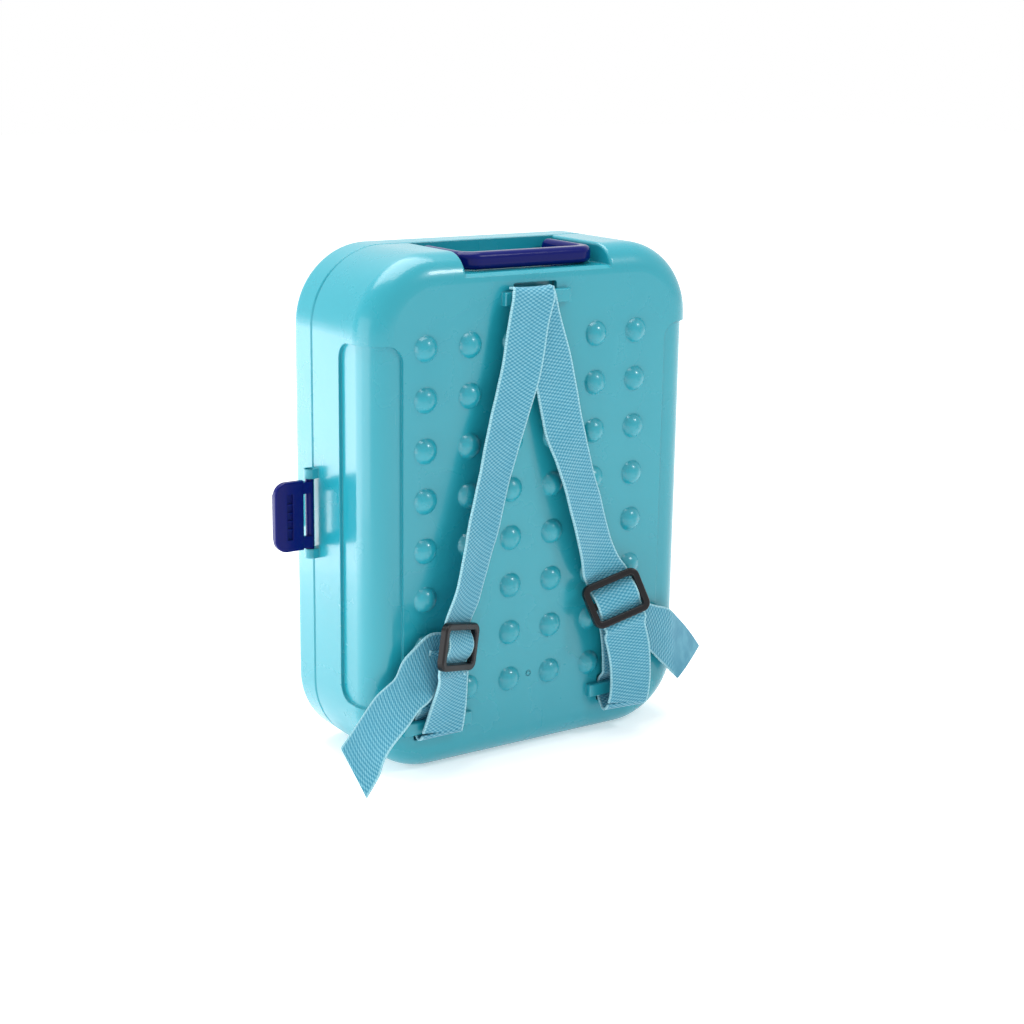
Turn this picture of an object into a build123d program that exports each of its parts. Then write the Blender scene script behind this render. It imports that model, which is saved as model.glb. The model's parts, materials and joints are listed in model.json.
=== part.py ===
from build123d import *
import os
import math

os.makedirs("parts", exist_ok=True)

# Toy pet grooming set in a moulded backpack case. Millimetres, +Z up, the back panel faces -Y,
# the lid faces +Y and the latch is on the -X side. The origin is the middle of the base.

# Case
CASE_WIDTH = 205.0
CASE_HEIGHT = 271.0
REAR_DEPTH = 57.4
LID_DEPTH = 22.6
CORNER_RADIUS = 41.0
REAR_EDGE_RADIUS = 15.0
LID_EDGE_RADIUS = 7.0
WALL = 2.4
RIM_GAP = 0.3
RIM_CHAMFER = 0.9

# Shallow step along both upright rear edges
STEP_DEPTH = 1.8
STEP_FROM_CENTRE = CASE_WIDTH / 2 - 20.5
STEP_FRONT_Y = -11.0
STEP_LOW_Z = 39.0
STEP_TOP_Z = CASE_HEIGHT - 43.5
STEP_CORNER = 9.0

# Domed bumps on the back panel
PANEL_CENTRE_X = -3.5
BUMP_PITCH_X = 26.2
BUMP_COLUMNS = 6
BUMP_ROWS = 8
BUMP_LOW_Z = 42.9
BUMP_TOP_Z = CASE_HEIGHT - 46.1
BUMP_PITCH_Z = (BUMP_TOP_Z - BUMP_LOW_Z) / (BUMP_ROWS - 1)
BUMP_RADIUS = 6.7
BUMP_HEIGHT = 4.2
MARK_RADIUS = 1.7
MARK_LINE = 0.6
MARK_X = -4.1
MARK_Z = 43.8

# Handle recess and handle
HANDLE_WIDTH = 84.0
HANDLE_SIDE_GAP = 3.0
RECESS_WIDTH = HANDLE_WIDTH + 2 * HANDLE_SIDE_GAP
RECESS_DEPTH = 10.5
RECESS_EDGE = 1.6
LEDGE_SLOPE = 2.6
FAR_WALL = 2.4
HANDLE_REACH = 36.0
HANDLE_THICKNESS = 9.0
HANDLE_GRIP_DEPTH = 9.0
HANDLE_ARM_WIDTH = 7.0
HANDLE_CORNER = 11.0
HANDLE_ROUND = 3.2
HANDLE_FLOOR_GAP = 0.6
PIVOT_BACK = 7.0
STUB_RADIUS = 2.5
STUB_LENGTH = 5.2
FIT_CLEARANCE = 0.06

# Webbing, its bars and its slots
WEBBING_WIDTH = 25.0
WEBBING_THICKNESS = 1.2
WEBBING_CLEARANCE = 0.3
BAR_LENGTH = 41.0
BAR_HEIGHT = 7.0
BAR_PROUD = 3.6
BAR_THICKNESS = 3.2
BAR_ROUND = 0.8
SLOT_WIDTH = 26.8
SLOT_HEIGHT = 15.0
SLOT_CORNER = 1.2
TOP_BAR_Z = CASE_HEIGHT - 24.0
LOW_BAR_Z = 27.0
LOW_BAR_SPREAD = 59.0

# Webbing runs. Rise is the distance out from the back panel.
TOP_LOOP_X = -3.9
TOP_LOOP_ROUND = 1.8
TOP_LOOP_INSIDE_ROUND = 0.6
LOOP_FRONT_ABOVE = 9.0
LOOP_DROP = 2.2
RETURN_RISE = 5.1
RETURN_OVERLAP = 2.0

# Stations of the front runs, from the top bar down: x, rise, z and twist in degrees, which
# lifts the left edge
LEFT_UPPER_STATIONS = (
    (-6.5, 8.8, 262.0, 0.0),
    (-13.1, 8.6, 235.2, 0.0),
    (-16.9, 8.6, 213.1, 1.0),
    (-23.4, 8.6, 190.0, 5.6),
    (-31.0, 8.8, 165.0, 13.7),
    (-39.0, 9.6, 135.0, 16.7),
    (-46.5, 10.6, 108.0, 23.0),
)
RIGHT_UPPER_STATIONS = (
    (-10.5, 6.2, 262.0, 0.0),
    (-3.0, 6.3, 232.0, 0.0),
    (3.0, 6.4, 216.0, 0.0),
    (11.5, 6.6, 178.0, 1.5),
    (16.1, 7.5, 165.0, 10.0),
    (21.0, 8.4, 150.0, 15.0),
    (30.4, 8.2, 120.0, 14.2),
    (34.3, 7.5, 108.0, 10.4),
)
LEFT_LOWER_STATIONS = (
    (-60.1, 12.2, 55.0, 24.0),
    (-60.6, 10.2, 46.0, 15.0),
)
RIGHT_LOWER_STATIONS = (
    (50.6, 15.8, 57.0, -9.0),
    (53.6, 15.0, 46.0, -4.0),
)

# Bends of the loops round the lower bars: rise and z, from the front run's end downward
LEFT_LOOP_FRONT = ((7.5, 36.0), (6.3, 21.4))
RIGHT_LOOP_FRONT = ((14.0, 36.0), (12.8, 24.0), (9.5, 16.8))

# Loose tails. The left one flares away from the panel on a plane of its own.
TAIL_RISE = 7.0
LEFT_TAIL_ORIGIN = (-67.2, -48.0, 61.0)
LEFT_TAIL_OUT = (-0.9597, -0.2814, 0.0)
LEFT_TAIL_FACE = (-0.2813, 0.9594, 0.0189)
LEFT_TAIL_OUTLINE = (
    (-5.0, 17.7),
    (4.8, 19.4),
    (14.2, 15.2),
    (27.6, 7.7),
    (40.0, -2.4),
    (59.6, -13.9),
    (68.1, -22.9),
    (50.3, -57.4),
    (41.3, -45.0),
    (26.4, -30.4),
    (9.6, -20.6),
    (-3.0, -4.0),
)
RIGHT_TAIL_OUTLINE = (
    (56.0, 72.6),
    (87.2, 67.8),
    (94.0, 60.4),
    (102.2, 52.0),
    (111.1, 40.4),
    (95.2, 23.5),
    (87.1, 30.3),
    (75.1, 41.0),
    (60.0, 48.6),
)

# Buckles. Each has the x, rise and z of its back's middle and the way down its strap, and is
# tilted: the twist lifts its left side, the pitch its lower end.
LEFT_BUCKLE = (-58.7, 13.6, 72.1)
LEFT_BUCKLE_DOWN = (-0.26811, 0.0, -0.96339)
LEFT_BUCKLE_TWIST = 25.7
LEFT_BUCKLE_PITCH = 7.4
LEFT_RETURN_TOP = (-60.0, 66.0)
RIGHT_BUCKLE = (44.0, 12.4, 81.4)
RIGHT_BUCKLE_DOWN = (0.30993, 0.0, -0.95077)
RIGHT_BUCKLE_TWIST = -11.7
RIGHT_BUCKLE_PITCH = 22.9
RIGHT_RETURN_TOP = (51.5, 76.0)
BUCKLE_WIDTH = 34.0
BUCKLE_HEIGHT = 25.0
BUCKLE_THICKNESS = 3.6
BUCKLE_SIDE_BAR = 3.8
BUCKLE_END_BAR = 3.9
BUCKLE_CORNER = 5.0
BUCKLE_WINDOW_CORNER = 1.5
BUCKLE_EDGE = 1.1
CROSS_BAR = 3.5
CROSS_BAR_LOW = 0.4
CROSS_BAR_TOP = 1.9
WEBBING_BEND = 0.5
WEBBING_PAST_CROSS_BAR = 1.8
WEBBING_PAST_FRAME = 0.5

# Latch on the -X side
LATCH_Z = 134.0
LATCH_LENGTH = 21.6
LATCH_HEIGHT = 37.0
LATCH_PLATE = 3.2
LATCH_CORNER = 7.0
LATCH_ROD_RADIUS = 2.2
LATCH_ROD_LENGTH = 41.0
LATCH_OUT = 3.8
LATCH_BACK = 3.0
LATCH_ARM_HEIGHT = 6.0
EAR_HEIGHT = 5.0
EAR_BACK = 3.2
EAR_SIDE_GAP = 0.3
LATCH_ARM_LENGTH = 5.0
LATCH_ARM_THICKNESS = 3.0
LATCH_ARM_MIDDLE = 14.5
LATCH_PLATE_FRONT = -0.4
LATCH_EDGE = 1.0
LATCH_LIP = 2.0
LATCH_LIP_BACK = 1.0
LATCH_LIP_DEPTH = 2.6
LATCH_LIP_HEIGHT = 24.0
GROOVE_FROM_TIP = 8.5
GROOVE_WIDTH = 3.2
GROOVE_HEIGHT = 24.0
GROOVE_DEPTH = 1.2
CATCH_HEIGHT = 22.0
CATCH_PROUD = 2.1
CATCH_DEPTH = 3.6
CATCH_FROM_ROD = 17.6

# Lid hinge on the +X side
HINGE_OUT = 3.7
KNUCKLE_RADIUS = 3.2
HINGE_PIN_RADIUS = 1.3
KNUCKLE_LENGTH = 9.0
KNUCKLE_GAP = 0.4
KNUCKLE_WEB = 4.2
KNUCKLE_WEB_FROM_RIM = 2.9
HINGE_LOW_Z = 70.0
HINGE_TOP_Z = CASE_HEIGHT - 70.0

PIN_HEAD_RADIUS = 2.2
PIN_HEAD = 1.2

# Plain raised border of the lid's front
LID_PANEL_WIDTH = CASE_WIDTH - 55.0
LID_PANEL_HEIGHT = CASE_HEIGHT - 61.0
LID_PANEL_CORNER = 26.0
LID_PANEL_SINK = 0.8

# Insert tray and its screws
TRAY_SIDE_GAP = 6.1
TRAY_WIDTH = CASE_WIDTH - 2 * (WALL + TRAY_SIDE_GAP)
TRAY_LOW_Z = 9.0
TRAY_TOP_Z = CASE_HEIGHT - 24.0
TRAY_CORNER = 30.0
TRAY_WALL = 2.0
TRAY_RIM_HEIGHT = 26.0
TRAY_STANDOFF = 18.0
CLIP_HEIGHT = 9.0
CLIP_WIDTH = 2.6
CLIP_LENGTH = 14.0
TOOL_GAP = 0.3
SCREW_SPREAD = 48.0
SCREW_LOW_Z = 14.8
SCREW_TOP_Z = TRAY_TOP_Z - 21.0
SCREW_RADIUS = 1.5
SCREW_LENGTH = 12.0
SCREW_HEAD_RADIUS = 3.2
SCREW_HEAD = 2.0
SCREW_CROSS_LENGTH = 3.4
SCREW_CROSS_WIDTH = 0.8
BOSS_RADIUS = 3.8

# Comb
TRAY_INSIDE_X = TRAY_WIDTH / 2 - TRAY_WALL
COMB_WIDTH = 27.0
COMB_X = -(TRAY_INSIDE_X - 3.5 - COMB_WIDTH / 2)
COMB_Z = 118.0
COMB_LENGTH = 138.0
COMB_CORNER = 5.0
COMB_SPINE = 9.0
COMB_THICKNESS = 4.0
COMB_PITCH = 4.0
COMB_TOOTH = 2.2
COMB_END = 4.0
COMB_GAP_COUNT = int((COMB_LENGTH - 2 * COMB_END) / COMB_PITCH)
COMB_CLIP_SPREAD = 40.0

# Brush
BRUSH_LOW_Z = 28.0
BRUSH_HANDLE_LENGTH = 98.0
BRUSH_HANDLE_WIDTH = 17.0
BRUSH_HEAD_OVERLAP = 4.0
BRUSH_HEAD_LOW_Z = BRUSH_LOW_Z + BRUSH_HANDLE_LENGTH - BRUSH_HEAD_OVERLAP
BRUSH_HEAD_LENGTH = TRAY_TOP_Z - 41.0 - BRUSH_HEAD_LOW_Z
BRUSH_HEAD_WIDTH = TRAY_INSIDE_X - 52.0
BRUSH_HEAD_CORNER = BRUSH_HEAD_WIDTH * 3 / 8
BRUSH_X = COMB_X + COMB_WIDTH / 2 + 7.5 + BRUSH_HEAD_WIDTH / 2
BRUSH_THICKNESS = 11.0
BRUSH_EDGE = 2.5
BRUSH_HOLE_RADIUS = 3.5
BRUSH_HOLE_RISE = 12.0
BRUSH_PAD = 2.4
BRUSH_PAD_MARGIN = 4.0
BRUSH_PIN_ROWS = 11
BRUSH_PIN_COLUMNS = 4
BRUSH_PIN_PITCH = (BRUSH_HEAD_LENGTH - 20.0) / (BRUSH_PIN_ROWS - 1)
BRUSH_PIN_RADIUS = 1.1
BRUSH_PIN_HEIGHT = 9.0
BRUSH_PIN_TAPER = 3.0
BRUSH_CLIP_RISE = 50.0

# Scissors
SCISSORS_Z = 98.0
BLADE_WIDTH = 11.0
BLADE_SHOULDER = 18.0
BLADE_TIP_OUTER = 0.8
BLADE_TIP_INNER = 1.6
BLADE_INNER = 2.4
BLADE_THICKNESS = 3.0
BLADE_GAP = 0.2
HUB_HALF_HEIGHT = 6.0
SHANK_LENGTH = 34.0
SHANK_WIDTH = 6.0
RING_RADIUS = 14.0
RING_BAR = 4.2
RING_SPREAD = 15.5
RING_SINK = 4.0
RIVET_RADIUS = 2.4
RIVET_HEAD_RADIUS = 4.2
RIVET_HEAD = 1.4
BLADE_CLIP_RISE = 30.0

# Hair dryer
DRYER_X = 40.0
DRYER_Z = TRAY_TOP_Z - 45.0
DRYER_LENGTH = 74.0
DRYER_RADIUS = 18.0
DRYER_WALL = 2.2
DRYER_HANDLE_X = 62.0
DRYER_HANDLE_WIDTH = 20.0
DRYER_HANDLE_DEPTH = 15.0
DRYER_HANDLE_CORNER = 6.0
DRYER_HANDLE_LOW_Z = 128.0
DRYER_CLIP_DROP = 48.0
BLADE_LENGTH = DRYER_Z - DRYER_RADIUS - 24.0 - SCISSORS_Z
NOZZLE_LENGTH = 14.0
NOZZLE_END_RADIUS = 12.0
NOZZLE_STEP = 0.5
GRILLE_THICKNESS = 2.4
GRILLE_SLOT_COUNT = 5
GRILLE_SLOT_LENGTH = 20.0
GRILLE_SLOT_WIDTH = 2.0
GRILLE_PITCH = 5.0
SWITCH_WIDTH = 6.0
SWITCH_LENGTH = 10.0
SWITCH_TRAVEL = 4.0
SWITCH_PROUD = 2.0
SWITCH_SINK = 2.0
SWITCH_EDGE = 0.8
SWITCH_DROP = 34.0
SWITCH_CLEARANCE = 0.3

# Spray bottle
BOTTLE_LOW_Z = 24.0
BOTTLE_RADIUS = 16.0
BOTTLE_X = TRAY_INSIDE_X - 5.0 - BOTTLE_RADIUS
SCISSORS_X = BOTTLE_X - BOTTLE_RADIUS - 3.5 - RING_RADIUS - RING_SPREAD
BOTTLE_HEIGHT = 62.0
BOTTLE_SHOULDER = 10.0
BOTTLE_WALL = 1.6
BOTTLE_CLIP_RISE = 32.0
NECK_RADIUS = 7.0
NECK_HEIGHT = 8.0
CAP_RADIUS = 9.5
CAP_HEIGHT = 9.0
CAP_LIFT = 1.0
HEAD_HEIGHT = 13.0
HEAD_LENGTH = 34.0
HEAD_DEPTH = 13.0
HEAD_CORNER = 2.0
TRIGGER_LENGTH = 16.0
TRIGGER_WIDTH = 8.0
TRIGGER_THICKNESS = 3.2
TRIGGER_PIN_RADIUS = 1.4
TRIGGER_EYE_WALL = 1.1
TRIGGER_FROM_CAP = 8.0
TRIGGER_RISE = 4.0
TRIGGER_SIDE_GAP = 0.3
TRIGGER_SWING_GAP = 2.0

# Levels that follow from the sizes above
CASE_DEPTH = REAR_DEPTH + LID_DEPTH
PANEL_Y = -CASE_DEPTH / 2
PARTING_Y = PANEL_Y + REAR_DEPTH
LID_Y = CASE_DEPTH / 2
SIDE_X = CASE_WIDTH / 2
FAR = 400.0
OVERLAP = 1.0


def case_form(inward, front_y):
    """The outer form of the deep rear shell, or of a surface that lies inward of it."""
    with BuildPart() as form:
        with BuildSketch(Plane.XZ.offset(-front_y)):
            with Locations((0, CASE_HEIGHT / 2)):
                RectangleRounded(
                    CASE_WIDTH - 2 * inward, CASE_HEIGHT - 2 * inward, CORNER_RADIUS - inward
                )
        extrude(amount=front_y - (PANEL_Y + inward))
        fillet(form.edges().group_by(Axis.Y)[0], REAR_EDGE_RADIUS - inward)
    return form.part


def step_zone(grown):
    """The two regions along the upright rear edges that the shallow step takes."""
    low = STEP_LOW_Z - grown
    top = STEP_TOP_Z + grown
    with BuildPart() as zone:
        with BuildSketch(Plane.YZ.offset(-FAR / 2)):
            with Locations((STEP_FRONT_Y + grown - FAR / 2, (low + top) / 2)):
                RectangleRounded(FAR, top - low, STEP_CORNER)
        extrude(amount=FAR)
        with BuildSketch(Plane.XZ.offset(-FAR / 2)):
            for side in (-1, 1):
                with Locations((side * (STEP_FROM_CENTRE - grown + FAR / 4), (low + top) / 2)):
                    RectangleRounded(FAR / 2, top - low, STEP_CORNER)
        extrude(amount=FAR, mode=Mode.INTERSECT)
    return zone.part


REAR_RIM_Y = PARTING_Y - RIM_GAP / 2
LID_RIM_Y = PARTING_Y + RIM_GAP / 2

outer_form = case_form(0, REAR_RIM_Y)
step_band = (outer_form - case_form(STEP_DEPTH, REAR_RIM_Y)) & step_zone(0)
cavity_form = case_form(WALL, REAR_RIM_Y + OVERLAP)
cavity_step = (cavity_form - case_form(WALL + STEP_DEPTH, REAR_RIM_Y + OVERLAP)) & step_zone(WALL)

# Deep rear shell: walls, handle recess, bumps, webbing bars, latch ears, hinge knuckles
RECESS_FLOOR_Z = CASE_HEIGHT - RECESS_DEPTH
FAR_FACE_Y = PARTING_Y - FAR_WALL
DOME_RADIUS = (BUMP_RADIUS**2 + BUMP_HEIGHT**2) / (2 * BUMP_HEIGHT)
BUMP_ROW_MIDDLE_Z = BUMP_LOW_Z + BUMP_PITCH_Z * (BUMP_ROWS - 1) / 2
BARS = (
    (PANEL_CENTRE_X, TOP_BAR_Z),
    (PANEL_CENTRE_X - LOW_BAR_SPREAD, LOW_BAR_Z),
    (PANEL_CENTRE_X + LOW_BAR_SPREAD, LOW_BAR_Z),
)
LATCH_X = -(SIDE_X + LATCH_OUT)
LATCH_Y = PARTING_Y - LATCH_BACK
HINGE_X = SIDE_X + HINGE_OUT
PIVOT_Y = FAR_FACE_Y - PIVOT_BACK
PIVOT_Z = RECESS_FLOOR_Z + HANDLE_FLOOR_GAP + HANDLE_THICKNESS / 2
EAR_LOW = LATCH_HEIGHT / 2 + EAR_SIDE_GAP
KNUCKLE_STEP = KNUCKLE_LENGTH + KNUCKLE_GAP

TRAY_BACK_Y = PANEL_Y + TRAY_STANDOFF
TRAY_FLOOR_Y = TRAY_BACK_Y + TRAY_WALL
TRAY_SCREWS = [
    (side * SCREW_SPREAD, z) for side in (-1, 1) for z in (SCREW_LOW_Z, SCREW_TOP_Z)
]

with BuildPart() as recess_housing:
    with BuildSketch(Plane.YZ.offset(-RECESS_WIDTH / 2 - WALL)):
        with Locations((REAR_RIM_Y, RECESS_FLOOR_Z - WALL)):
            Rectangle(FAR, FAR, align=(Align.MAX, Align.MIN))
    extrude(amount=RECESS_WIDTH + 2 * WALL)
    add(outer_form, mode=Mode.INTERSECT)

with BuildPart() as cavity:
    add(cavity_form)
    add(cavity_step, mode=Mode.SUBTRACT)
    add(recess_housing.part, mode=Mode.SUBTRACT)

with BuildPart() as bumps:
    with Locations((PANEL_CENTRE_X, PANEL_Y + DOME_RADIUS - BUMP_HEIGHT, BUMP_ROW_MIDDLE_Z)):
        with Locations(Plane.XZ):
            with GridLocations(BUMP_PITCH_X, BUMP_PITCH_Z, BUMP_COLUMNS, BUMP_ROWS):
                Sphere(DOME_RADIUS)
    with BuildSketch(Plane.XZ.offset(-PANEL_Y - OVERLAP / 2)):
        with Locations((0, CASE_HEIGHT / 2)):
            Rectangle(CASE_WIDTH, CASE_HEIGHT)
    extrude(amount=2 * BUMP_HEIGHT, mode=Mode.INTERSECT)

with BuildPart() as bars:
    with BuildSketch(Plane.XZ.offset(-PANEL_Y - OVERLAP)):
        with Locations(*BARS):
            Rectangle(BAR_LENGTH, BAR_HEIGHT)
    extrude(amount=OVERLAP + BAR_PROUD)
    fillet(bars.edges().group_by(Axis.Y)[0], BAR_ROUND)
    with BuildSketch(Plane.XZ.offset(-PANEL_Y - WALL)):
        with Locations(*BARS):
            Rectangle(SLOT_WIDTH, SLOT_HEIGHT)
    extrude(amount=WALL + BAR_PROUD - BAR_THICKNESS, mode=Mode.SUBTRACT)

with BuildPart() as ears:
    for side in (-1, 1):
        low = LATCH_Z + (EAR_LOW if side > 0 else -EAR_LOW - EAR_HEIGHT)
        with BuildSketch(Plane.XY.offset(low)):
            with Locations((-SIDE_X + OVERLAP, REAR_RIM_Y)):
                Rectangle(
                    OVERLAP + LATCH_OUT,
                    REAR_RIM_Y - LATCH_Y + EAR_BACK,
                    align=(Align.MAX, Align.MAX),
                )
            with Locations((LATCH_X, LATCH_Y)):
                Circle(REAR_RIM_Y - LATCH_Y)
        extrude(amount=EAR_HEIGHT)
    with Locations((LATCH_X, LATCH_Y, LATCH_Z)):
        Cylinder(LATCH_ROD_RADIUS + FIT_CLEARANCE, FAR, mode=Mode.SUBTRACT)


def knuckles(lengthwise, web_side, bore):
    """Hinge knuckles with their webs, centred lengthwise on each hinge."""
    with BuildPart() as group:
        for hinge_z in (HINGE_LOW_Z, HINGE_TOP_Z):
            for step in lengthwise:
                low = hinge_z + step * KNUCKLE_STEP - KNUCKLE_LENGTH / 2
                with BuildSketch(Plane.XY.offset(low)):
                    with Locations((HINGE_X, PARTING_Y)):
                        Circle(KNUCKLE_RADIUS)
                    with Locations(
                        (SIDE_X - OVERLAP, PARTING_Y + web_side * KNUCKLE_WEB_FROM_RIM)
                    ):
                        Rectangle(
                            HINGE_OUT + OVERLAP, KNUCKLE_WEB, align=(Align.MIN, Align.CENTER)
                        )
                    with Locations((HINGE_X, PARTING_Y)):
                        Circle(bore, mode=Mode.SUBTRACT)
                extrude(amount=KNUCKLE_LENGTH)
    return group.part


with BuildPart() as rear_shell:
    add(outer_form)
    add(step_band, mode=Mode.SUBTRACT)
    with BuildSketch(Plane.YZ.offset(-RECESS_WIDTH / 2)):
        with BuildLine():
            Polyline(
                (PANEL_Y - FAR, RECESS_FLOOR_Z - LEDGE_SLOPE),
                (PANEL_Y - OVERLAP, RECESS_FLOOR_Z - LEDGE_SLOPE),
                (PANEL_Y + LEDGE_SLOPE, RECESS_FLOOR_Z),
                (FAR_FACE_Y, RECESS_FLOOR_Z),
                (FAR_FACE_Y, FAR),
                (PANEL_Y - FAR, FAR),
                close=True,
            )
        make_face()
    extrude(amount=RECESS_WIDTH, mode=Mode.SUBTRACT)
    recess_rim = (
        rear_shell.edges()
        .filter_by(lambda edge: abs(abs(edge.center().X) - RECESS_WIDTH / 2) < 0.01)
        .filter_by(lambda edge: edge.center().Z > RECESS_FLOOR_Z + 1)
        .filter_by(lambda edge: edge.center().Y < FAR_FACE_Y - 1)
    )
    fillet(recess_rim, RECESS_EDGE)
    rim = (
        rear_shell.edges()
        .group_by(Axis.Y)[-1]
        .filter_by(lambda edge: edge.length > 1)
    )
    chamfer(rim, RIM_CHAMFER)
    add(cavity.part, mode=Mode.SUBTRACT)
    add(bumps.part)
    with BuildSketch(Plane.XZ.offset(-PANEL_Y - 2 * WALL)):
        with Locations(*BARS):
            RectangleRounded(SLOT_WIDTH, SLOT_HEIGHT, SLOT_CORNER)
    extrude(amount=3 * WALL, mode=Mode.SUBTRACT)
    add(bars.part)
    add(ears.part)
    add(knuckles((-1, 1), -1, HINGE_PIN_RADIUS))
    with Locations((0, PIVOT_Y, PIVOT_Z)):
        Cylinder(
            STUB_RADIUS + FIT_CLEARANCE,
            RECESS_WIDTH + 3 * WALL,
            rotation=(0, 90, 0),
            mode=Mode.SUBTRACT,
        )
    with Locations((MARK_X, PANEL_Y, MARK_Z)):
        Cylinder(MARK_RADIUS, MARK_LINE, rotation=(90, 0, 0), mode=Mode.SUBTRACT)
        Cylinder(MARK_RADIUS - MARK_LINE, MARK_LINE, rotation=(90, 0, 0))
    with BuildSketch(Plane.XZ.offset(-TRAY_BACK_Y)):
        with Locations(*TRAY_SCREWS):
            Circle(BOSS_RADIUS)
            Circle(SCREW_RADIUS, mode=Mode.SUBTRACT)
    extrude(amount=TRAY_BACK_Y - PANEL_Y - WALL / 2)
rear_shell.part.label = "rear_shell"
export_step(rear_shell.part, "parts/rear_shell.step")

# Lid
with BuildPart() as lid_cavity:
    with BuildSketch(Plane.XZ.offset(-LID_RIM_Y + OVERLAP)):
        with Locations((0, CASE_HEIGHT / 2)):
            RectangleRounded(CASE_WIDTH - 2 * WALL, CASE_HEIGHT - 2 * WALL, CORNER_RADIUS - WALL)
    extrude(amount=-(LID_Y - WALL - LID_RIM_Y + OVERLAP))
    fillet(lid_cavity.edges().group_by(Axis.Y)[-1], LID_EDGE_RADIUS - WALL)

with BuildPart() as front_shell:
    with BuildSketch(Plane.XZ.offset(-LID_RIM_Y)):
        with Locations((0, CASE_HEIGHT / 2)):
            RectangleRounded(CASE_WIDTH, CASE_HEIGHT, CORNER_RADIUS)
    extrude(amount=-(LID_Y - LID_RIM_Y))
    fillet(front_shell.edges().group_by(Axis.Y)[-1], LID_EDGE_RADIUS)
    chamfer(front_shell.edges().group_by(Axis.Y)[0], RIM_CHAMFER)
    add(lid_cavity.part, mode=Mode.SUBTRACT)
    with BuildSketch(Plane.XZ.offset(-LID_Y + LID_PANEL_SINK)):
        with Locations((0, CASE_HEIGHT / 2)):
            RectangleRounded(LID_PANEL_WIDTH, LID_PANEL_HEIGHT, LID_PANEL_CORNER)
    extrude(amount=-2 * LID_PANEL_SINK, mode=Mode.SUBTRACT)
    with BuildSketch(Plane.XY.offset(LATCH_Z - CATCH_HEIGHT / 2)):
        with BuildLine():
            catch_y = LATCH_Y + CATCH_FROM_ROD
            Polyline(
                (-SIDE_X + OVERLAP, catch_y - CATCH_DEPTH),
                (-SIDE_X - CATCH_PROUD, catch_y - CATCH_DEPTH / 2),
                (-SIDE_X - CATCH_PROUD, catch_y),
                (-SIDE_X + OVERLAP, catch_y),
                close=True,
            )
        make_face()
    extrude(amount=CATCH_HEIGHT)
    add(knuckles((0,), 1, HINGE_PIN_RADIUS + FIT_CLEARANCE))
front_shell.part.label = "front_shell"
export_step(front_shell.part, "parts/front_shell.step")

# Hinge pins
for place, hinge_z in (("lower", HINGE_LOW_Z), ("upper", HINGE_TOP_Z)):
    with BuildPart() as hinge_pin:
        half_length = KNUCKLE_STEP + KNUCKLE_LENGTH / 2
        with Locations((HINGE_X, PARTING_Y, hinge_z)):
            Cylinder(HINGE_PIN_RADIUS, 2 * half_length)
        with Locations((HINGE_X, PARTING_Y, hinge_z + half_length)):
            Cylinder(PIN_HEAD_RADIUS, PIN_HEAD, align=(Align.CENTER, Align.CENTER, Align.MIN))
    hinge_pin.part.label = "hinge_pin_" + place
    export_step(hinge_pin.part, "parts/hinge_pin_" + place + ".step")

# Handle, folded back into its recess
GRIP_BACK_Y = PIVOT_Y - HANDLE_REACH - HANDLE_GRIP_DEPTH / 2
ARM_END_Y = PIVOT_Y + HANDLE_THICKNESS / 2
with BuildSketch() as finger_gap:
    with Locations((0, ARM_END_Y + HANDLE_CORNER)):
        Rectangle(
            HANDLE_WIDTH - 2 * HANDLE_ARM_WIDTH,
            ARM_END_Y + HANDLE_CORNER - GRIP_BACK_Y - HANDLE_GRIP_DEPTH,
            align=(Align.CENTER, Align.MAX),
        )
    fillet(finger_gap.vertices().group_by(Axis.Y)[0], HANDLE_CORNER - HANDLE_ARM_WIDTH)

with BuildPart() as handle:
    with BuildSketch(Plane.XY.offset(PIVOT_Z - HANDLE_THICKNESS / 2)) as handle_plan:
        with Locations((0, ARM_END_Y)):
            Rectangle(HANDLE_WIDTH, ARM_END_Y - GRIP_BACK_Y, align=(Align.CENTER, Align.MAX))
        fillet(handle_plan.vertices().group_by(Axis.Y)[0], HANDLE_CORNER)
        add(finger_gap.sketch, mode=Mode.SUBTRACT)
    extrude(amount=HANDLE_THICKNESS)
    arm_ends = handle.edges().filter_by(Axis.X).group_by(Axis.Y)[-1]
    fillet(arm_ends, HANDLE_THICKNESS / 2 - 0.1)
    long_edges = (
        handle.edges()
        .filter_by(lambda edge: edge.center().Y < PIVOT_Y - 1)
        .filter_by(lambda edge: abs(abs(edge.center().Z - PIVOT_Z) - HANDLE_THICKNESS / 2) < 0.01)
    )
    fillet(long_edges, HANDLE_ROUND)
    stub_x = HANDLE_WIDTH / 2 + STUB_LENGTH / 2 - OVERLAP
    for side in (-1, 1):
        with Locations((side * stub_x, PIVOT_Y, PIVOT_Z)):
            Cylinder(STUB_RADIUS, STUB_LENGTH + 2 * OVERLAP, rotation=(0, 90, 0))
handle.part.label = "handle"
export_step(handle.part, "parts/handle.step")

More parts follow.
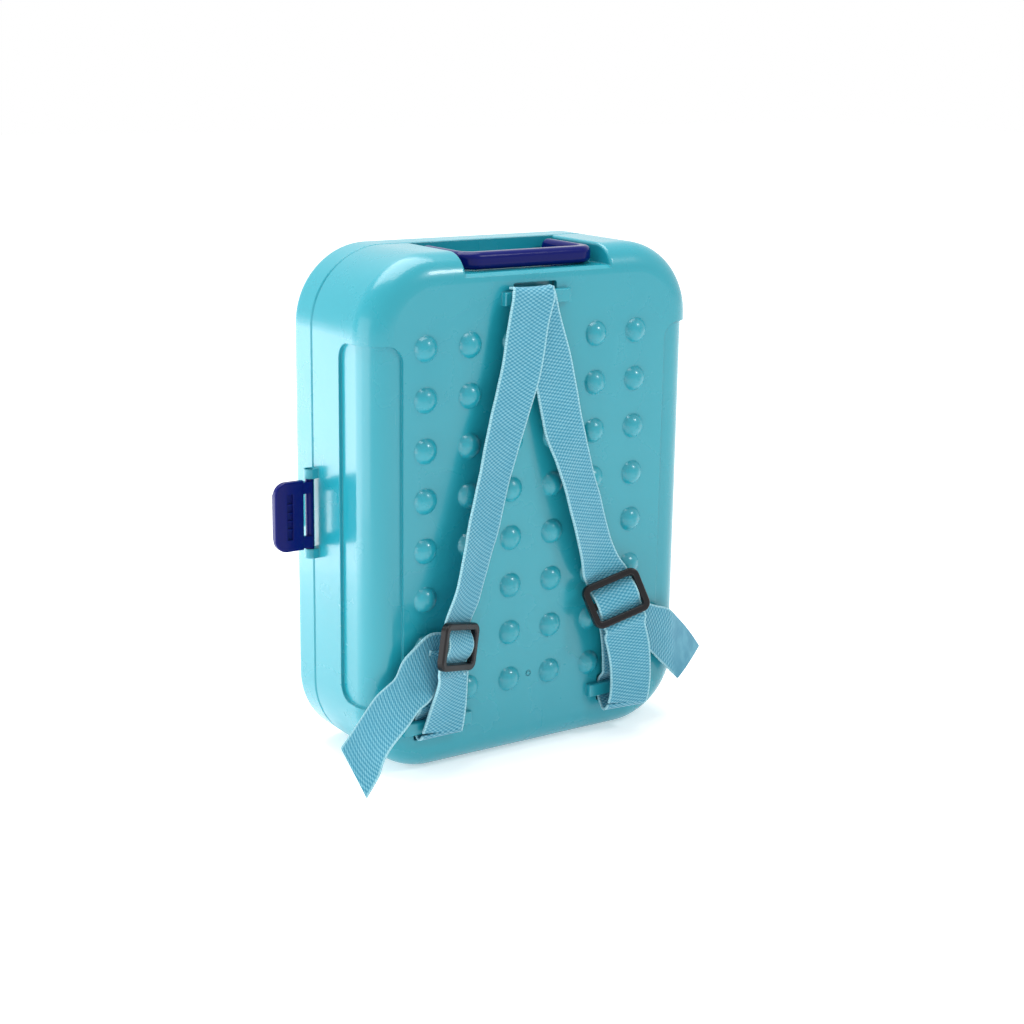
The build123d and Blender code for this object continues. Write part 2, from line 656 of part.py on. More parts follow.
# Latch, standing open at a right angle to the side. Across is the way its face looks.
LATCH_TIP_X = LATCH_X - LATCH_LENGTH
with BuildPart() as latch:
    with BuildSketch(Plane.XZ.offset(-LATCH_Y - LATCH_PLATE_FRONT)) as plate_face:
        with Locations((LATCH_TIP_X, LATCH_Z)):
            Rectangle(
                LATCH_LENGTH - LATCH_ARM_LENGTH,
                LATCH_HEIGHT,
                align=(Align.MIN, Align.CENTER),
            )
        fillet(plate_face.vertices().group_by(Axis.X)[0], LATCH_CORNER)
    extrude(amount=LATCH_PLATE)
    outer_edges = latch.edges().group_by(Axis.Y)[0]
    fillet(outer_edges, LATCH_EDGE)
    with BuildSketch(Plane.XZ.offset(-LATCH_Y - LATCH_PLATE_FRONT)):
        for side in (-1, 1):
            with Locations((LATCH_X, LATCH_Z + side * LATCH_ARM_MIDDLE)):
                Rectangle(
                    LATCH_ARM_LENGTH + OVERLAP, LATCH_ARM_HEIGHT, align=(Align.MAX, Align.CENTER)
                )
    extrude(amount=LATCH_ARM_THICKNESS)
    with Locations((LATCH_X, LATCH_Y, LATCH_Z)):
        Cylinder(LATCH_ROD_RADIUS, LATCH_ROD_LENGTH)
    with BuildSketch(Plane.XZ.offset(-LATCH_Y - LATCH_PLATE_FRONT)):
        with Locations((LATCH_TIP_X + LATCH_LIP_BACK, LATCH_Z)):
            Rectangle(LATCH_LIP, LATCH_LIP_HEIGHT, align=(Align.MIN, Align.CENTER))
    extrude(amount=-LATCH_LIP_DEPTH)
    with BuildSketch(Plane.XZ.offset(-LATCH_Y - LATCH_PLATE_FRONT + LATCH_PLATE)):
        with Locations((LATCH_TIP_X + GROOVE_FROM_TIP, LATCH_Z)):
            Rectangle(GROOVE_WIDTH, GROOVE_HEIGHT)
    extrude(amount=-GROOVE_DEPTH, mode=Mode.SUBTRACT)
latch.part.label = "latch"
export_step(latch.part, "parts/latch.step")

# Webbing. Each strap has a loop round a bar, a front run through its buckle, a return run
# behind and a loose tail.
OUTWARD = Vector(0, -1, 0)
WEBBING_GAP = WEBBING_CLEARANCE + WEBBING_THICKNESS / 2
LOOP_RISE = BAR_PROUD + WEBBING_GAP
BEHIND_BAR_RISE = BAR_PROUD - BAR_THICKNESS - WEBBING_GAP
STRAP_TOP_Z = TOP_BAR_Z + BAR_HEIGHT / 2 + WEBBING_CLEARANCE + WEBBING_THICKNESS
LOOP_TOP_Z = LOW_BAR_Z + LOOP_FRONT_ABOVE
RETURN_Z = LOOP_TOP_Z + RETURN_OVERLAP
BEHIND_BAR_LOW_Z = LOW_BAR_Z - BAR_HEIGHT / 2 - LOOP_DROP
BEHIND_BAR_TOP_Z = LOW_BAR_Z + BAR_HEIGHT / 2 + LOOP_DROP

# Half lengths along the buckle at which the webbing bends
BEND_AT_END_BAR = BUCKLE_HEIGHT / 2 - BUCKLE_END_BAR - WEBBING_BEND
BEND_AT_CROSS_BAR = CROSS_BAR / 2 + WEBBING_PAST_CROSS_BAR
WEBBING_EXIT = BUCKLE_HEIGHT / 2 + WEBBING_PAST_FRAME
OVER_BAR_HEIGHT = CROSS_BAR_TOP + WEBBING_GAP


def band_outline(points, thickness):
    """The mitred outline of a band of even thickness along a line of (x, y) points."""
    near_side = []
    far_side = []
    for index, point in enumerate(points):
        before = points[max(index - 1, 0)]
        after = points[min(index + 1, len(points) - 1)]
        bearings = []
        if before != point:
            bearings.append(math.atan2(point[1] - before[1], point[0] - before[0]))
        if after != point:
            bearings.append(math.atan2(after[1] - point[1], after[0] - point[0]))
        normal_x = -sum(math.sin(bearing) for bearing in bearings)
        normal_y = sum(math.cos(bearing) for bearing in bearings)
        size = math.hypot(normal_x, normal_y)
        reach = thickness / 2 / (size / len(bearings))
        near_side.append((point[0] + normal_x / size * reach, point[1] + normal_y / size * reach))
        far_side.append((point[0] - normal_x / size * reach, point[1] - normal_y / size * reach))
    return near_side + far_side[::-1]


def side_strip(strip_plane, points):
    """Webbing that bends along a line of points in strip_plane and is centred on that plane."""
    with BuildPart() as strip:
        with BuildSketch(strip_plane):
            with BuildLine():
                Polyline(*band_outline(points, WEBBING_THICKNESS), close=True)
            make_face()
        extrude(amount=WEBBING_WIDTH / 2, both=True)
    return strip.part


def flat_strip(outline, rise):
    """A flat run of webbing parallel to the panel, its middle at the given rise."""
    with BuildPart() as strip:
        with BuildSketch(Plane.XZ.offset(-PANEL_Y + rise - WEBBING_THICKNESS / 2)):
            with BuildLine():
                Polyline(*outline, close=True)
            make_face()
        extrude(amount=WEBBING_THICKNESS)
    return strip.part


def panel_point(x, rise, z):
    """The point at x and z that lies out from the back panel by the rise."""
    return Vector(x, PANEL_Y - rise, z)


def tilted(down, degrees):
    """The ways across and out of webbing or a buckle that runs down and is twisted."""
    across = OUTWARD.cross(down)
    turn = math.radians(degrees)
    turned = across * math.cos(turn) - OUTWARD * math.sin(turn)
    return turned, OUTWARD * math.cos(turn) + across * math.sin(turn)


def run_sections(stations, before, after):
    """Sections at the stations of a run that lies between the lists of points before and after."""
    centres = [panel_point(x, rise, z) for x, rise, z, twist in stations]
    line = before + centres + after
    sections = []
    for index, (x, rise, z, twist) in enumerate(stations):
        place = index + len(before)
        way = line[min(place + 1, len(line) - 1)] - line[max(place - 1, 0)]
        down = Vector(way.X, 0, way.Z).normalized()
        turned, out = tilted(down, twist)
        plane = Plane(origin=centres[index], x_dir=turned, z_dir=down)
        sections.append((plane, WEBBING_THICKNESS))
    return sections


def buckle_sections(middle, turned, frame_down, frame_out):
    """Sections behind the end bars of a buckle and over its cross bar, mitred at the bends."""
    line = [
        middle + frame_down * along + frame_out * height
        for along, height in (
            (-WEBBING_EXIT, -WEBBING_GAP),
            (-BEND_AT_END_BAR, -WEBBING_GAP),
            (-BEND_AT_CROSS_BAR, OVER_BAR_HEIGHT),
            (BEND_AT_CROSS_BAR, OVER_BAR_HEIGHT),
            (BEND_AT_END_BAR, -WEBBING_GAP),
            (WEBBING_EXIT, -WEBBING_GAP),
        )
    ]
    sections = []
    for index, point in enumerate(line):
        before = line[max(index - 1, 0)]
        after = line[min(index + 1, len(line) - 1)]
        steps = (point - before, after - point)
        ways = [step.normalized() for step in steps if step.length > 0]
        mean = sum(ways, Vector(0, 0, 0)) / len(ways)
        plane = Plane(origin=point, x_dir=turned, z_dir=mean)
        sections.append((plane, WEBBING_THICKNESS / mean.length))
    return sections


def webbing_run(sections):
    """A run of webbing through sections of a plane and a thickness, straight between them."""
    with BuildPart() as run:
        for plane, thickness in sections:
            with BuildSketch(plane):
                Rectangle(WEBBING_WIDTH, thickness)
        loft(ruled=True)
    return run.part


with BuildPart() as strap_top_loop:
    with BuildSketch(Plane.YZ.offset(TOP_LOOP_X - WEBBING_WIDTH / 2)):
        with Locations((PANEL_Y - (LOOP_RISE + BEHIND_BAR_RISE) / 2, TOP_BAR_Z)):
            band_depth = LOOP_RISE - BEHIND_BAR_RISE
            band_height = BAR_HEIGHT + 2 * WEBBING_CLEARANCE + WEBBING_THICKNESS
            RectangleRounded(
                band_depth + WEBBING_THICKNESS, band_height + WEBBING_THICKNESS, TOP_LOOP_ROUND
            )
            RectangleRounded(
                band_depth - WEBBING_THICKNESS,
                band_height - WEBBING_THICKNESS,
                TOP_LOOP_INSIDE_ROUND,
                mode=Mode.SUBTRACT,
            )
    extrude(amount=WEBBING_WIDTH)
strap_top_loop.part.label = "strap_top_loop"
export_step(strap_top_loop.part, "parts/strap_top_loop.step")

# One entry for each side: name, upper stations, the middle of the buckle's back, the way down
# it, its twist and pitch, lower stations, loop front, x of the lower bar and the return's top
SIDES = (
    (
        "left",
        LEFT_UPPER_STATIONS,
        panel_point(*LEFT_BUCKLE),
        Vector(*LEFT_BUCKLE_DOWN),
        LEFT_BUCKLE_TWIST,
        LEFT_BUCKLE_PITCH,
        LEFT_LOWER_STATIONS,
        LEFT_LOOP_FRONT,
        PANEL_CENTRE_X - LOW_BAR_SPREAD,
        LEFT_RETURN_TOP,
    ),
    (
        "right",
        RIGHT_UPPER_STATIONS,
        panel_point(*RIGHT_BUCKLE),
        Vector(*RIGHT_BUCKLE_DOWN),
        RIGHT_BUCKLE_TWIST,
        RIGHT_BUCKLE_PITCH,
        RIGHT_LOWER_STATIONS,
        RIGHT_LOOP_FRONT,
        PANEL_CENTRE_X + LOW_BAR_SPREAD,
        RIGHT_RETURN_TOP,
    ),
)
for side_name, upper, middle, down, twist, pitch, lower, loop_front, bar_x, return_top in SIDES:
    turned, out = tilted(down, twist)
    lean = math.radians(pitch)
    frame_down = down * math.cos(lean) + out * math.sin(lean)
    frame_out = out * math.cos(lean) - down * math.sin(lean)
    through_buckle = buckle_sections(middle, turned, frame_down, frame_out)
    entry = through_buckle[0][0].origin
    way_out = through_buckle[-1][0].origin

    # Front run, from the top bar down behind, over and behind the three bars of the buckle
    with BuildPart() as strap_upper:
        add(webbing_run(run_sections(upper, [], [entry]) + through_buckle))
        with BuildSketch(Plane.XY.offset(STRAP_TOP_Z)):
            with Locations((0, PANEL_Y)):
                Rectangle(CASE_WIDTH, CASE_DEPTH)
        extrude(amount=FAR, mode=Mode.SUBTRACT)
    strap_upper.part.label = "strap_" + side_name + "_upper"
    export_step(strap_upper.part, "parts/strap_" + side_name + "_upper.step")

    # Lower front run and the return run behind it
    loop_top = panel_point(bar_x, loop_front[0][0], LOOP_TOP_Z)
    loop_plane = Plane(origin=loop_top, x_dir=(1, 0, 0), z_dir=(0, 0, -1))
    strap_lower = webbing_run(
        through_buckle[-1:]
        + run_sections(lower, [way_out], [loop_top])
        + [(loop_plane, WEBBING_THICKNESS)]
    )
    strap_lower.label = "strap_" + side_name + "_lower"
    export_step(strap_lower, "parts/strap_" + side_name + "_lower.step")
    return_x, return_top_z = return_top
    return_outline = [
        (return_x - WEBBING_WIDTH / 2, return_top_z),
        (return_x + WEBBING_WIDTH / 2, return_top_z),
        (bar_x + WEBBING_WIDTH / 2, RETURN_Z),
        (bar_x - WEBBING_WIDTH / 2, RETURN_Z),
    ]
    strap_return = flat_strip(return_outline, RETURN_RISE)
    strap_return.label = "strap_" + side_name + "_return"
    export_step(strap_return, "parts/strap_" + side_name + "_return.step")

    # Loop round the lower bar
    loop_line = loop_front + (
        (BEHIND_BAR_RISE, BEHIND_BAR_LOW_Z),
        (BEHIND_BAR_RISE, BEHIND_BAR_TOP_Z),
        (RETURN_RISE, BEHIND_BAR_TOP_Z + LOOP_DROP),
        (RETURN_RISE, RETURN_Z),
    )
    strap_loop = side_strip(
        Plane.YZ.offset(bar_x), [(PANEL_Y - rise, z) for rise, z in loop_line]
    )
    strap_loop.label = "strap_" + side_name + "_loop"
    export_step(strap_loop, "parts/strap_" + side_name + "_loop.step")

    # Buckle: a rounded frame with a thinner bar across its middle
    face_plane = Plane(origin=middle, x_dir=turned, z_dir=frame_out)
    with BuildPart() as buckle:
        with BuildSketch(face_plane):
            RectangleRounded(BUCKLE_WIDTH, BUCKLE_HEIGHT, BUCKLE_CORNER)
            RectangleRounded(
                BUCKLE_WIDTH - 2 * BUCKLE_SIDE_BAR,
                BUCKLE_HEIGHT - 2 * BUCKLE_END_BAR,
                BUCKLE_WINDOW_CORNER,
                mode=Mode.SUBTRACT,
            )
        extrude(amount=BUCKLE_THICKNESS)
        front_face = buckle.faces().sort_by(Axis(origin=middle, direction=frame_out))[-1]
        fillet(front_face.edges(), BUCKLE_EDGE)
        with BuildSketch(face_plane.offset(CROSS_BAR_LOW)):
            Rectangle(BUCKLE_WIDTH - 2 * BUCKLE_SIDE_BAR + OVERLAP, CROSS_BAR)
        extrude(amount=CROSS_BAR_TOP - CROSS_BAR_LOW)
    buckle.part.label = "buckle_" + side_name
    export_step(buckle.part, "parts/buckle_" + side_name + ".step")

# Loose tails, the left one flared away from the panel
with BuildPart() as strap_left_tail:
    tail_plane = Plane(origin=LEFT_TAIL_ORIGIN, x_dir=LEFT_TAIL_OUT, z_dir=LEFT_TAIL_FACE)
    with BuildSketch(tail_plane):
        with BuildLine():
            Polyline(*LEFT_TAIL_OUTLINE, close=True)
        make_face()
    extrude(amount=WEBBING_THICKNESS / 2, both=True)
strap_left_tail.part.label = "strap_left_tail"
export_step(strap_left_tail.part, "parts/strap_left_tail.step")
strap_right_tail = flat_strip(RIGHT_TAIL_OUTLINE, TAIL_RISE)
strap_right_tail.label = "strap_right_tail"
export_step(strap_right_tail, "parts/strap_right_tail.step")

# Insert tray with a raised rim and low clips beside each tool
CLIPPED_TOOLS = (
    (COMB_X, COMB_WIDTH / 2, COMB_Z - COMB_CLIP_SPREAD),
    (COMB_X, COMB_WIDTH / 2, COMB_Z + COMB_CLIP_SPREAD),
    (BRUSH_X, BRUSH_HANDLE_WIDTH / 2, BRUSH_LOW_Z + BRUSH_CLIP_RISE),
    (BOTTLE_X, BOTTLE_RADIUS, BOTTLE_LOW_Z + BOTTLE_CLIP_RISE),
    (DRYER_HANDLE_X, DRYER_HANDLE_WIDTH / 2, DRYER_Z - DRYER_CLIP_DROP),
)
with BuildPart() as insert_tray:
    with BuildSketch(Plane.XZ.offset(-TRAY_BACK_Y)):
        with Locations((0, (TRAY_LOW_Z + TRAY_TOP_Z) / 2)):
            RectangleRounded(TRAY_WIDTH, TRAY_TOP_Z - TRAY_LOW_Z, TRAY_CORNER)
    extrude(amount=-TRAY_RIM_HEIGHT)
    with BuildSketch(Plane.XZ.offset(-TRAY_FLOOR_Y)):
        with Locations((0, (TRAY_LOW_Z + TRAY_TOP_Z) / 2)):
            RectangleRounded(
                TRAY_WIDTH - 2 * TRAY_WALL,
                TRAY_TOP_Z - TRAY_LOW_Z - 2 * TRAY_WALL,
                TRAY_CORNER - TRAY_WALL,
            )
    extrude(amount=-TRAY_RIM_HEIGHT, mode=Mode.SUBTRACT)
    with BuildSketch(Plane.XZ.offset(-TRAY_FLOOR_Y)):
        for tool_x, half_width, clip_z in CLIPPED_TOOLS:
            clip_side = half_width + TOOL_GAP + CLIP_WIDTH / 2
            with Locations((tool_x - clip_side, clip_z), (tool_x + clip_side, clip_z)):
                Rectangle(CLIP_WIDTH, CLIP_LENGTH)
        blade_side = BLADE_WIDTH / 2 + TOOL_GAP + CLIP_WIDTH / 2
        with Locations((SCISSORS_X - blade_side, SCISSORS_Z + BLADE_CLIP_RISE)):
            Rectangle(CLIP_WIDTH, CLIP_LENGTH)
    extrude(amount=-CLIP_HEIGHT)
    with BuildSketch(Plane.XZ.offset(-TRAY_FLOOR_Y)):
        with Locations(*TRAY_SCREWS):
            Circle(SCREW_RADIUS)
    extrude(amount=2 * TRAY_WALL, mode=Mode.SUBTRACT)
insert_tray.part.label = "insert_tray"
export_step(insert_tray.part, "parts/insert_tray.step")

with BuildPart() as tray_screws:
    with BuildSketch(Plane.XZ.offset(-TRAY_FLOOR_Y)):
        with Locations(*TRAY_SCREWS):
            Circle(SCREW_HEAD_RADIUS)
    extrude(amount=-SCREW_HEAD)
    with BuildSketch(Plane.XZ.offset(-TRAY_FLOOR_Y)):
        with Locations(*TRAY_SCREWS):
            Circle(SCREW_RADIUS)
    extrude(amount=SCREW_LENGTH)
    with BuildSketch(Plane.XZ.offset(-TRAY_FLOOR_Y - SCREW_HEAD)):
        with Locations(*TRAY_SCREWS):
            Rectangle(SCREW_CROSS_LENGTH, SCREW_CROSS_WIDTH)
            Rectangle(SCREW_CROSS_WIDTH, SCREW_CROSS_LENGTH)
    extrude(amount=SCREW_HEAD / 2, mode=Mode.SUBTRACT)
tray_screws.part.label = "tray_screws"
export_step(tray_screws.part, "parts/tray_screws.step")

# Comb, its teeth toward the brush
with BuildPart() as comb:
    with BuildSketch(Plane.XZ.offset(-TRAY_FLOOR_Y)):
        with Locations((COMB_X, COMB_Z)):
            RectangleRounded(COMB_WIDTH, COMB_LENGTH, COMB_CORNER)
        with Locations((COMB_X + COMB_SPINE, COMB_Z)):
            with GridLocations(0, COMB_PITCH, 1, COMB_GAP_COUNT):
                Rectangle(COMB_WIDTH, COMB_PITCH - COMB_TOOTH, mode=Mode.SUBTRACT)
    extrude(amount=-COMB_THICKNESS)
comb.part.label = "comb"
export_step(comb.part, "parts/comb.step")

# Brush, pins toward the lid
BRUSH_HEAD_Z = BRUSH_HEAD_LOW_Z + BRUSH_HEAD_LENGTH / 2
with BuildPart() as brush_body:
    with BuildSketch(Plane.XZ.offset(-TRAY_FLOOR_Y)):
        with Locations((BRUSH_X, BRUSH_HEAD_Z)):
            RectangleRounded(BRUSH_HEAD_WIDTH, BRUSH_HEAD_LENGTH, BRUSH_HEAD_CORNER)
        with Locations((BRUSH_X, BRUSH_LOW_Z + BRUSH_HANDLE_LENGTH / 2)):
            RectangleRounded(
                BRUSH_HANDLE_WIDTH, BRUSH_HANDLE_LENGTH, BRUSH_HANDLE_WIDTH / 2 - FIT_CLEARANCE
            )
    extrude(amount=-BRUSH_THICKNESS)
    fillet(brush_body.edges().group_by(Axis.Y)[0], BRUSH_EDGE)
    fillet(brush_body.edges().group_by(Axis.Y)[-1], BRUSH_EDGE)
    with BuildSketch(Plane.XZ.offset(-TRAY_FLOOR_Y)):
        with Locations((BRUSH_X, BRUSH_LOW_Z + BRUSH_HOLE_RISE)):
            Circle(BRUSH_HOLE_RADIUS)
    extrude(amount=-BRUSH_THICKNESS, mode=Mode.SUBTRACT)
brush_body.part.label = "brush_body"
export_step(brush_body.part, "parts/brush_body.step")

with BuildPart() as brush_pins:
    pad_y = TRAY_FLOOR_Y + BRUSH_THICKNESS
    with BuildSketch(Plane.XZ.offset(-pad_y)):
        with Locations((BRUSH_X, BRUSH_HEAD_Z)):
            RectangleRounded(
                BRUSH_HEAD_WIDTH - 2 * BRUSH_PAD_MARGIN,
                BRUSH_HEAD_LENGTH - 2 * BRUSH_PAD_MARGIN,
                BRUSH_HEAD_CORNER - BRUSH_PAD_MARGIN,
            )
    extrude(amount=-BRUSH_PAD)
    with BuildSketch(Plane.XZ.offset(-pad_y - BRUSH_PAD)):
        with Locations((BRUSH_X, BRUSH_HEAD_Z)):
            with GridLocations(
                BRUSH_PIN_PITCH, BRUSH_PIN_PITCH, BRUSH_PIN_COLUMNS, BRUSH_PIN_ROWS
            ):
                Circle(BRUSH_PIN_RADIUS)
    extrude(amount=-BRUSH_PIN_HEIGHT, taper=BRUSH_PIN_TAPER)
brush_pins.part.label = "brush_pins"
export_step(brush_pins.part, "parts/brush_pins.step")

# Scissors: two crossed halves on one rivet, blades up and rings down. Out is the way from the
# rivet to the half's own ring.
RIVET_BACK_Y = TRAY_FLOOR_Y + TOOL_GAP
BLADES_BACK_Y = RIVET_BACK_Y + RIVET_HEAD
RING_Z = SCISSORS_Z - SHANK_LENGTH - RING_RADIUS + RING_SINK
for blade_name, level, out in (("fixed", 0, 1), ("moving", 1, -1)):
    blade_y = BLADES_BACK_Y + level * (BLADE_THICKNESS + BLADE_GAP)
    with BuildPart() as blade:
        with BuildSketch(Plane.XZ.offset(-blade_y)):
            with BuildLine():
                Polyline(
                    (SCISSORS_X - out * BLADE_WIDTH / 2, SCISSORS_Z - HUB_HALF_HEIGHT),
                    (SCISSORS_X - out * BLADE_WIDTH / 2, SCISSORS_Z + BLADE_LENGTH - BLADE_SHOULDER),
                    (SCISSORS_X - out * BLADE_TIP_OUTER, SCISSORS_Z + BLADE_LENGTH),
                    (SCISSORS_X + out * BLADE_TIP_INNER, SCISSORS_Z + BLADE_LENGTH),
                    (SCISSORS_X + out * BLADE_INNER, SCISSORS_Z + HUB_HALF_HEIGHT),
                    (SCISSORS_X + out * BLADE_WIDTH / 2, SCISSORS_Z + HUB_HALF_HEIGHT / 2),
                    (SCISSORS_X + out * BLADE_WIDTH / 2, SCISSORS_Z - HUB_HALF_HEIGHT),
                    (SCISSORS_X + out * (RING_SPREAD - SHANK_WIDTH / 2), SCISSORS_Z - SHANK_LENGTH),
                    (
                        SCISSORS_X + out * (RING_SPREAD - 2 * SHANK_WIDTH),
                        SCISSORS_Z - SHANK_LENGTH,
                    ),
                    close=True,
                )
            make_face()
            with Locations((SCISSORS_X + out * RING_SPREAD, RING_Z)):
                Circle(RING_RADIUS)
                Circle(RING_RADIUS - RING_BAR, mode=Mode.SUBTRACT)
            with Locations((SCISSORS_X, SCISSORS_Z)):
                Circle(RIVET_RADIUS + level * FIT_CLEARANCE, mode=Mode.SUBTRACT)
        extrude(amount=-BLADE_THICKNESS)
    blade.part.label = "scissors_blade_" + blade_name
    export_step(blade.part, "parts/scissors_blade_" + blade_name + ".step")

with BuildPart() as scissors_rivet:
    blades_front_y = BLADES_BACK_Y + 2 * BLADE_THICKNESS + 2 * BLADE_GAP
    with BuildSketch(Plane.XZ.offset(-RIVET_BACK_Y)):
        with Locations((SCISSORS_X, SCISSORS_Z)):
            Circle(RIVET_HEAD_RADIUS)
    extrude(amount=-RIVET_HEAD)
    with BuildSketch(Plane.XZ.offset(-BLADES_BACK_Y)):
        with Locations((SCISSORS_X, SCISSORS_Z)):
            Circle(RIVET_RADIUS)
    extrude(amount=-(blades_front_y - BLADES_BACK_Y))
    with BuildSketch(Plane.XZ.offset(-blades_front_y)):
        with Locations((SCISSORS_X, SCISSORS_Z)):
            Circle(RIVET_HEAD_RADIUS)
    extrude(amount=-RIVET_HEAD)
scissors_rivet.part.label = "scissors_rivet"
export_step(scissors_rivet.part, "parts/scissors_rivet.step")

# Hair dryer, barrel across the tray and handle down
DRYER_Y = TRAY_FLOOR_Y + TOOL_GAP + DRYER_RADIUS
DRYER_LEFT_X = DRYER_X - DRYER_LENGTH / 2
DRYER_RIGHT_X = DRYER_X + DRYER_LENGTH / 2
SWITCH_Z = DRYER_Z - SWITCH_DROP
HANDLE_FRONT_Y = DRYER_Y + DRYER_HANDLE_DEPTH / 2
with BuildPart() as dryer_body:
    with BuildSketch(Plane.YZ.offset(DRYER_LEFT_X)):
        with Locations((DRYER_Y, DRYER_Z)):
            Circle(DRYER_RADIUS)
    extrude(amount=DRYER_LENGTH)
    with BuildSketch(Plane.XY.offset(DRYER_HANDLE_LOW_Z)):
        with Locations((DRYER_HANDLE_X, DRYER_Y)):
            RectangleRounded(DRYER_HANDLE_WIDTH, DRYER_HANDLE_DEPTH, DRYER_HANDLE_CORNER)
    extrude(amount=DRYER_Z - DRYER_HANDLE_LOW_Z)
    with BuildSketch(Plane.YZ.offset(DRYER_LEFT_X)):
        with Locations((DRYER_Y, DRYER_Z)):
            Circle(DRYER_RADIUS - DRYER_WALL)
    extrude(amount=DRYER_LENGTH, mode=Mode.SUBTRACT)
    with BuildSketch(Plane.XZ.offset(-HANDLE_FRONT_Y)):
        with Locations((DRYER_HANDLE_X, SWITCH_Z + SWITCH_TRAVEL / 2)):
            Rectangle(
                SWITCH_WIDTH + 2 * SWITCH_CLEARANCE,
                SWITCH_LENGTH + SWITCH_TRAVEL + 2 * SWITCH_CLEARANCE,
            )
    extrude(amount=SWITCH_SINK + SWITCH_CLEARANCE, mode=Mode.SUBTRACT)
dryer_body.part.label = "dryer_body"
export_step(dryer_body.part, "parts/dryer_body.step")

with BuildPart() as dryer_nozzle:
    with BuildSketch(Plane.YZ.offset(DRYER_LEFT_X - NOZZLE_LENGTH)):
        with Locations((DRYER_Y, DRYER_Z)):
            Circle(NOZZLE_END_RADIUS)
    with BuildSketch(Plane.YZ.offset(DRYER_LEFT_X)):
        with Locations((DRYER_Y, DRYER_Z)):
            Circle(DRYER_RADIUS - NOZZLE_STEP)
    loft()
    with BuildSketch(Plane.YZ.offset(DRYER_LEFT_X - NOZZLE_LENGTH)):
        with Locations((DRYER_Y, DRYER_Z)):
            Circle(NOZZLE_END_RADIUS - DRYER_WALL)
    extrude(amount=NOZZLE_LENGTH, mode=Mode.SUBTRACT)
dryer_nozzle.part.label = "dryer_nozzle"
export_step(dryer_nozzle.part, "parts/dryer_nozzle.step")

with BuildPart() as dryer_grille:
    with BuildSketch(Plane.YZ.offset(DRYER_RIGHT_X)):
        with Locations((DRYER_Y, DRYER_Z)):
            Circle(DRYER_RADIUS)
            with GridLocations(0, GRILLE_PITCH, 1, GRILLE_SLOT_COUNT):
                Rectangle(GRILLE_SLOT_LENGTH, GRILLE_SLOT_WIDTH, mode=Mode.SUBTRACT)
    extrude(amount=GRILLE_THICKNESS)
dryer_grille.part.label = "dryer_grille"
export_step(dryer_grille.part, "parts/dryer_grille.step")

with BuildPart() as dryer_switch:
    with BuildSketch(Plane.XZ.offset(-HANDLE_FRONT_Y + SWITCH_SINK)):
        with Locations((DRYER_HANDLE_X, SWITCH_Z)):
            Rectangle(SWITCH_WIDTH, SWITCH_LENGTH)
    extrude(amount=-(SWITCH_SINK + SWITCH_PROUD))
    fillet(dryer_switch.edges().group_by(Axis.Y)[-1], SWITCH_EDGE)
dryer_switch.part.label = "dryer_switch"
export_step(dryer_switch.part, "parts/dryer_switch.step")

# Spray bottle with its trigger head
BOTTLE_Y = TRAY_FLOOR_Y + TOOL_GAP + BOTTLE_RADIUS
NECK_Z = BOTTLE_LOW_Z + BOTTLE_HEIGHT + BOTTLE_SHOULDER
CAP_Z = NECK_Z + CAP_LIFT
HEAD_Z = CAP_Z + CAP_HEIGHT
with BuildPart() as bottle_body:
    with BuildSketch(Plane.XZ.offset(-BOTTLE_Y)):
        with BuildLine():
            Polyline(
                (BOTTLE_X, BOTTLE_LOW_Z),
                (BOTTLE_X + BOTTLE_RADIUS, BOTTLE_LOW_Z),
                (BOTTLE_X + BOTTLE_RADIUS, BOTTLE_LOW_Z + BOTTLE_HEIGHT),
                (BOTTLE_X + NECK_RADIUS, NECK_Z),
                (BOTTLE_X + NECK_RADIUS, NECK_Z + NECK_HEIGHT),
                (BOTTLE_X + NECK_RADIUS - BOTTLE_WALL, NECK_Z + NECK_HEIGHT),
                (BOTTLE_X + NECK_RADIUS - BOTTLE_WALL, NECK_Z - BOTTLE_WALL / 2),
                (
                    BOTTLE_X + BOTTLE_RADIUS - BOTTLE_WALL,
                    BOTTLE_LOW_Z + BOTTLE_HEIGHT - BOTTLE_WALL / 2,
                ),
                (BOTTLE_X + BOTTLE_RADIUS - BOTTLE_WALL, BOTTLE_LOW_Z + BOTTLE_WALL),
                (BOTTLE_X, BOTTLE_LOW_Z + BOTTLE_WALL),
                close=True,
            )
        make_face()
    revolve(axis=Axis((BOTTLE_X, BOTTLE_Y, 0), (0, 0, 1)))
bottle_body.part.label = "bottle_body"
export_step(bottle_body.part, "parts/bottle_body.step")

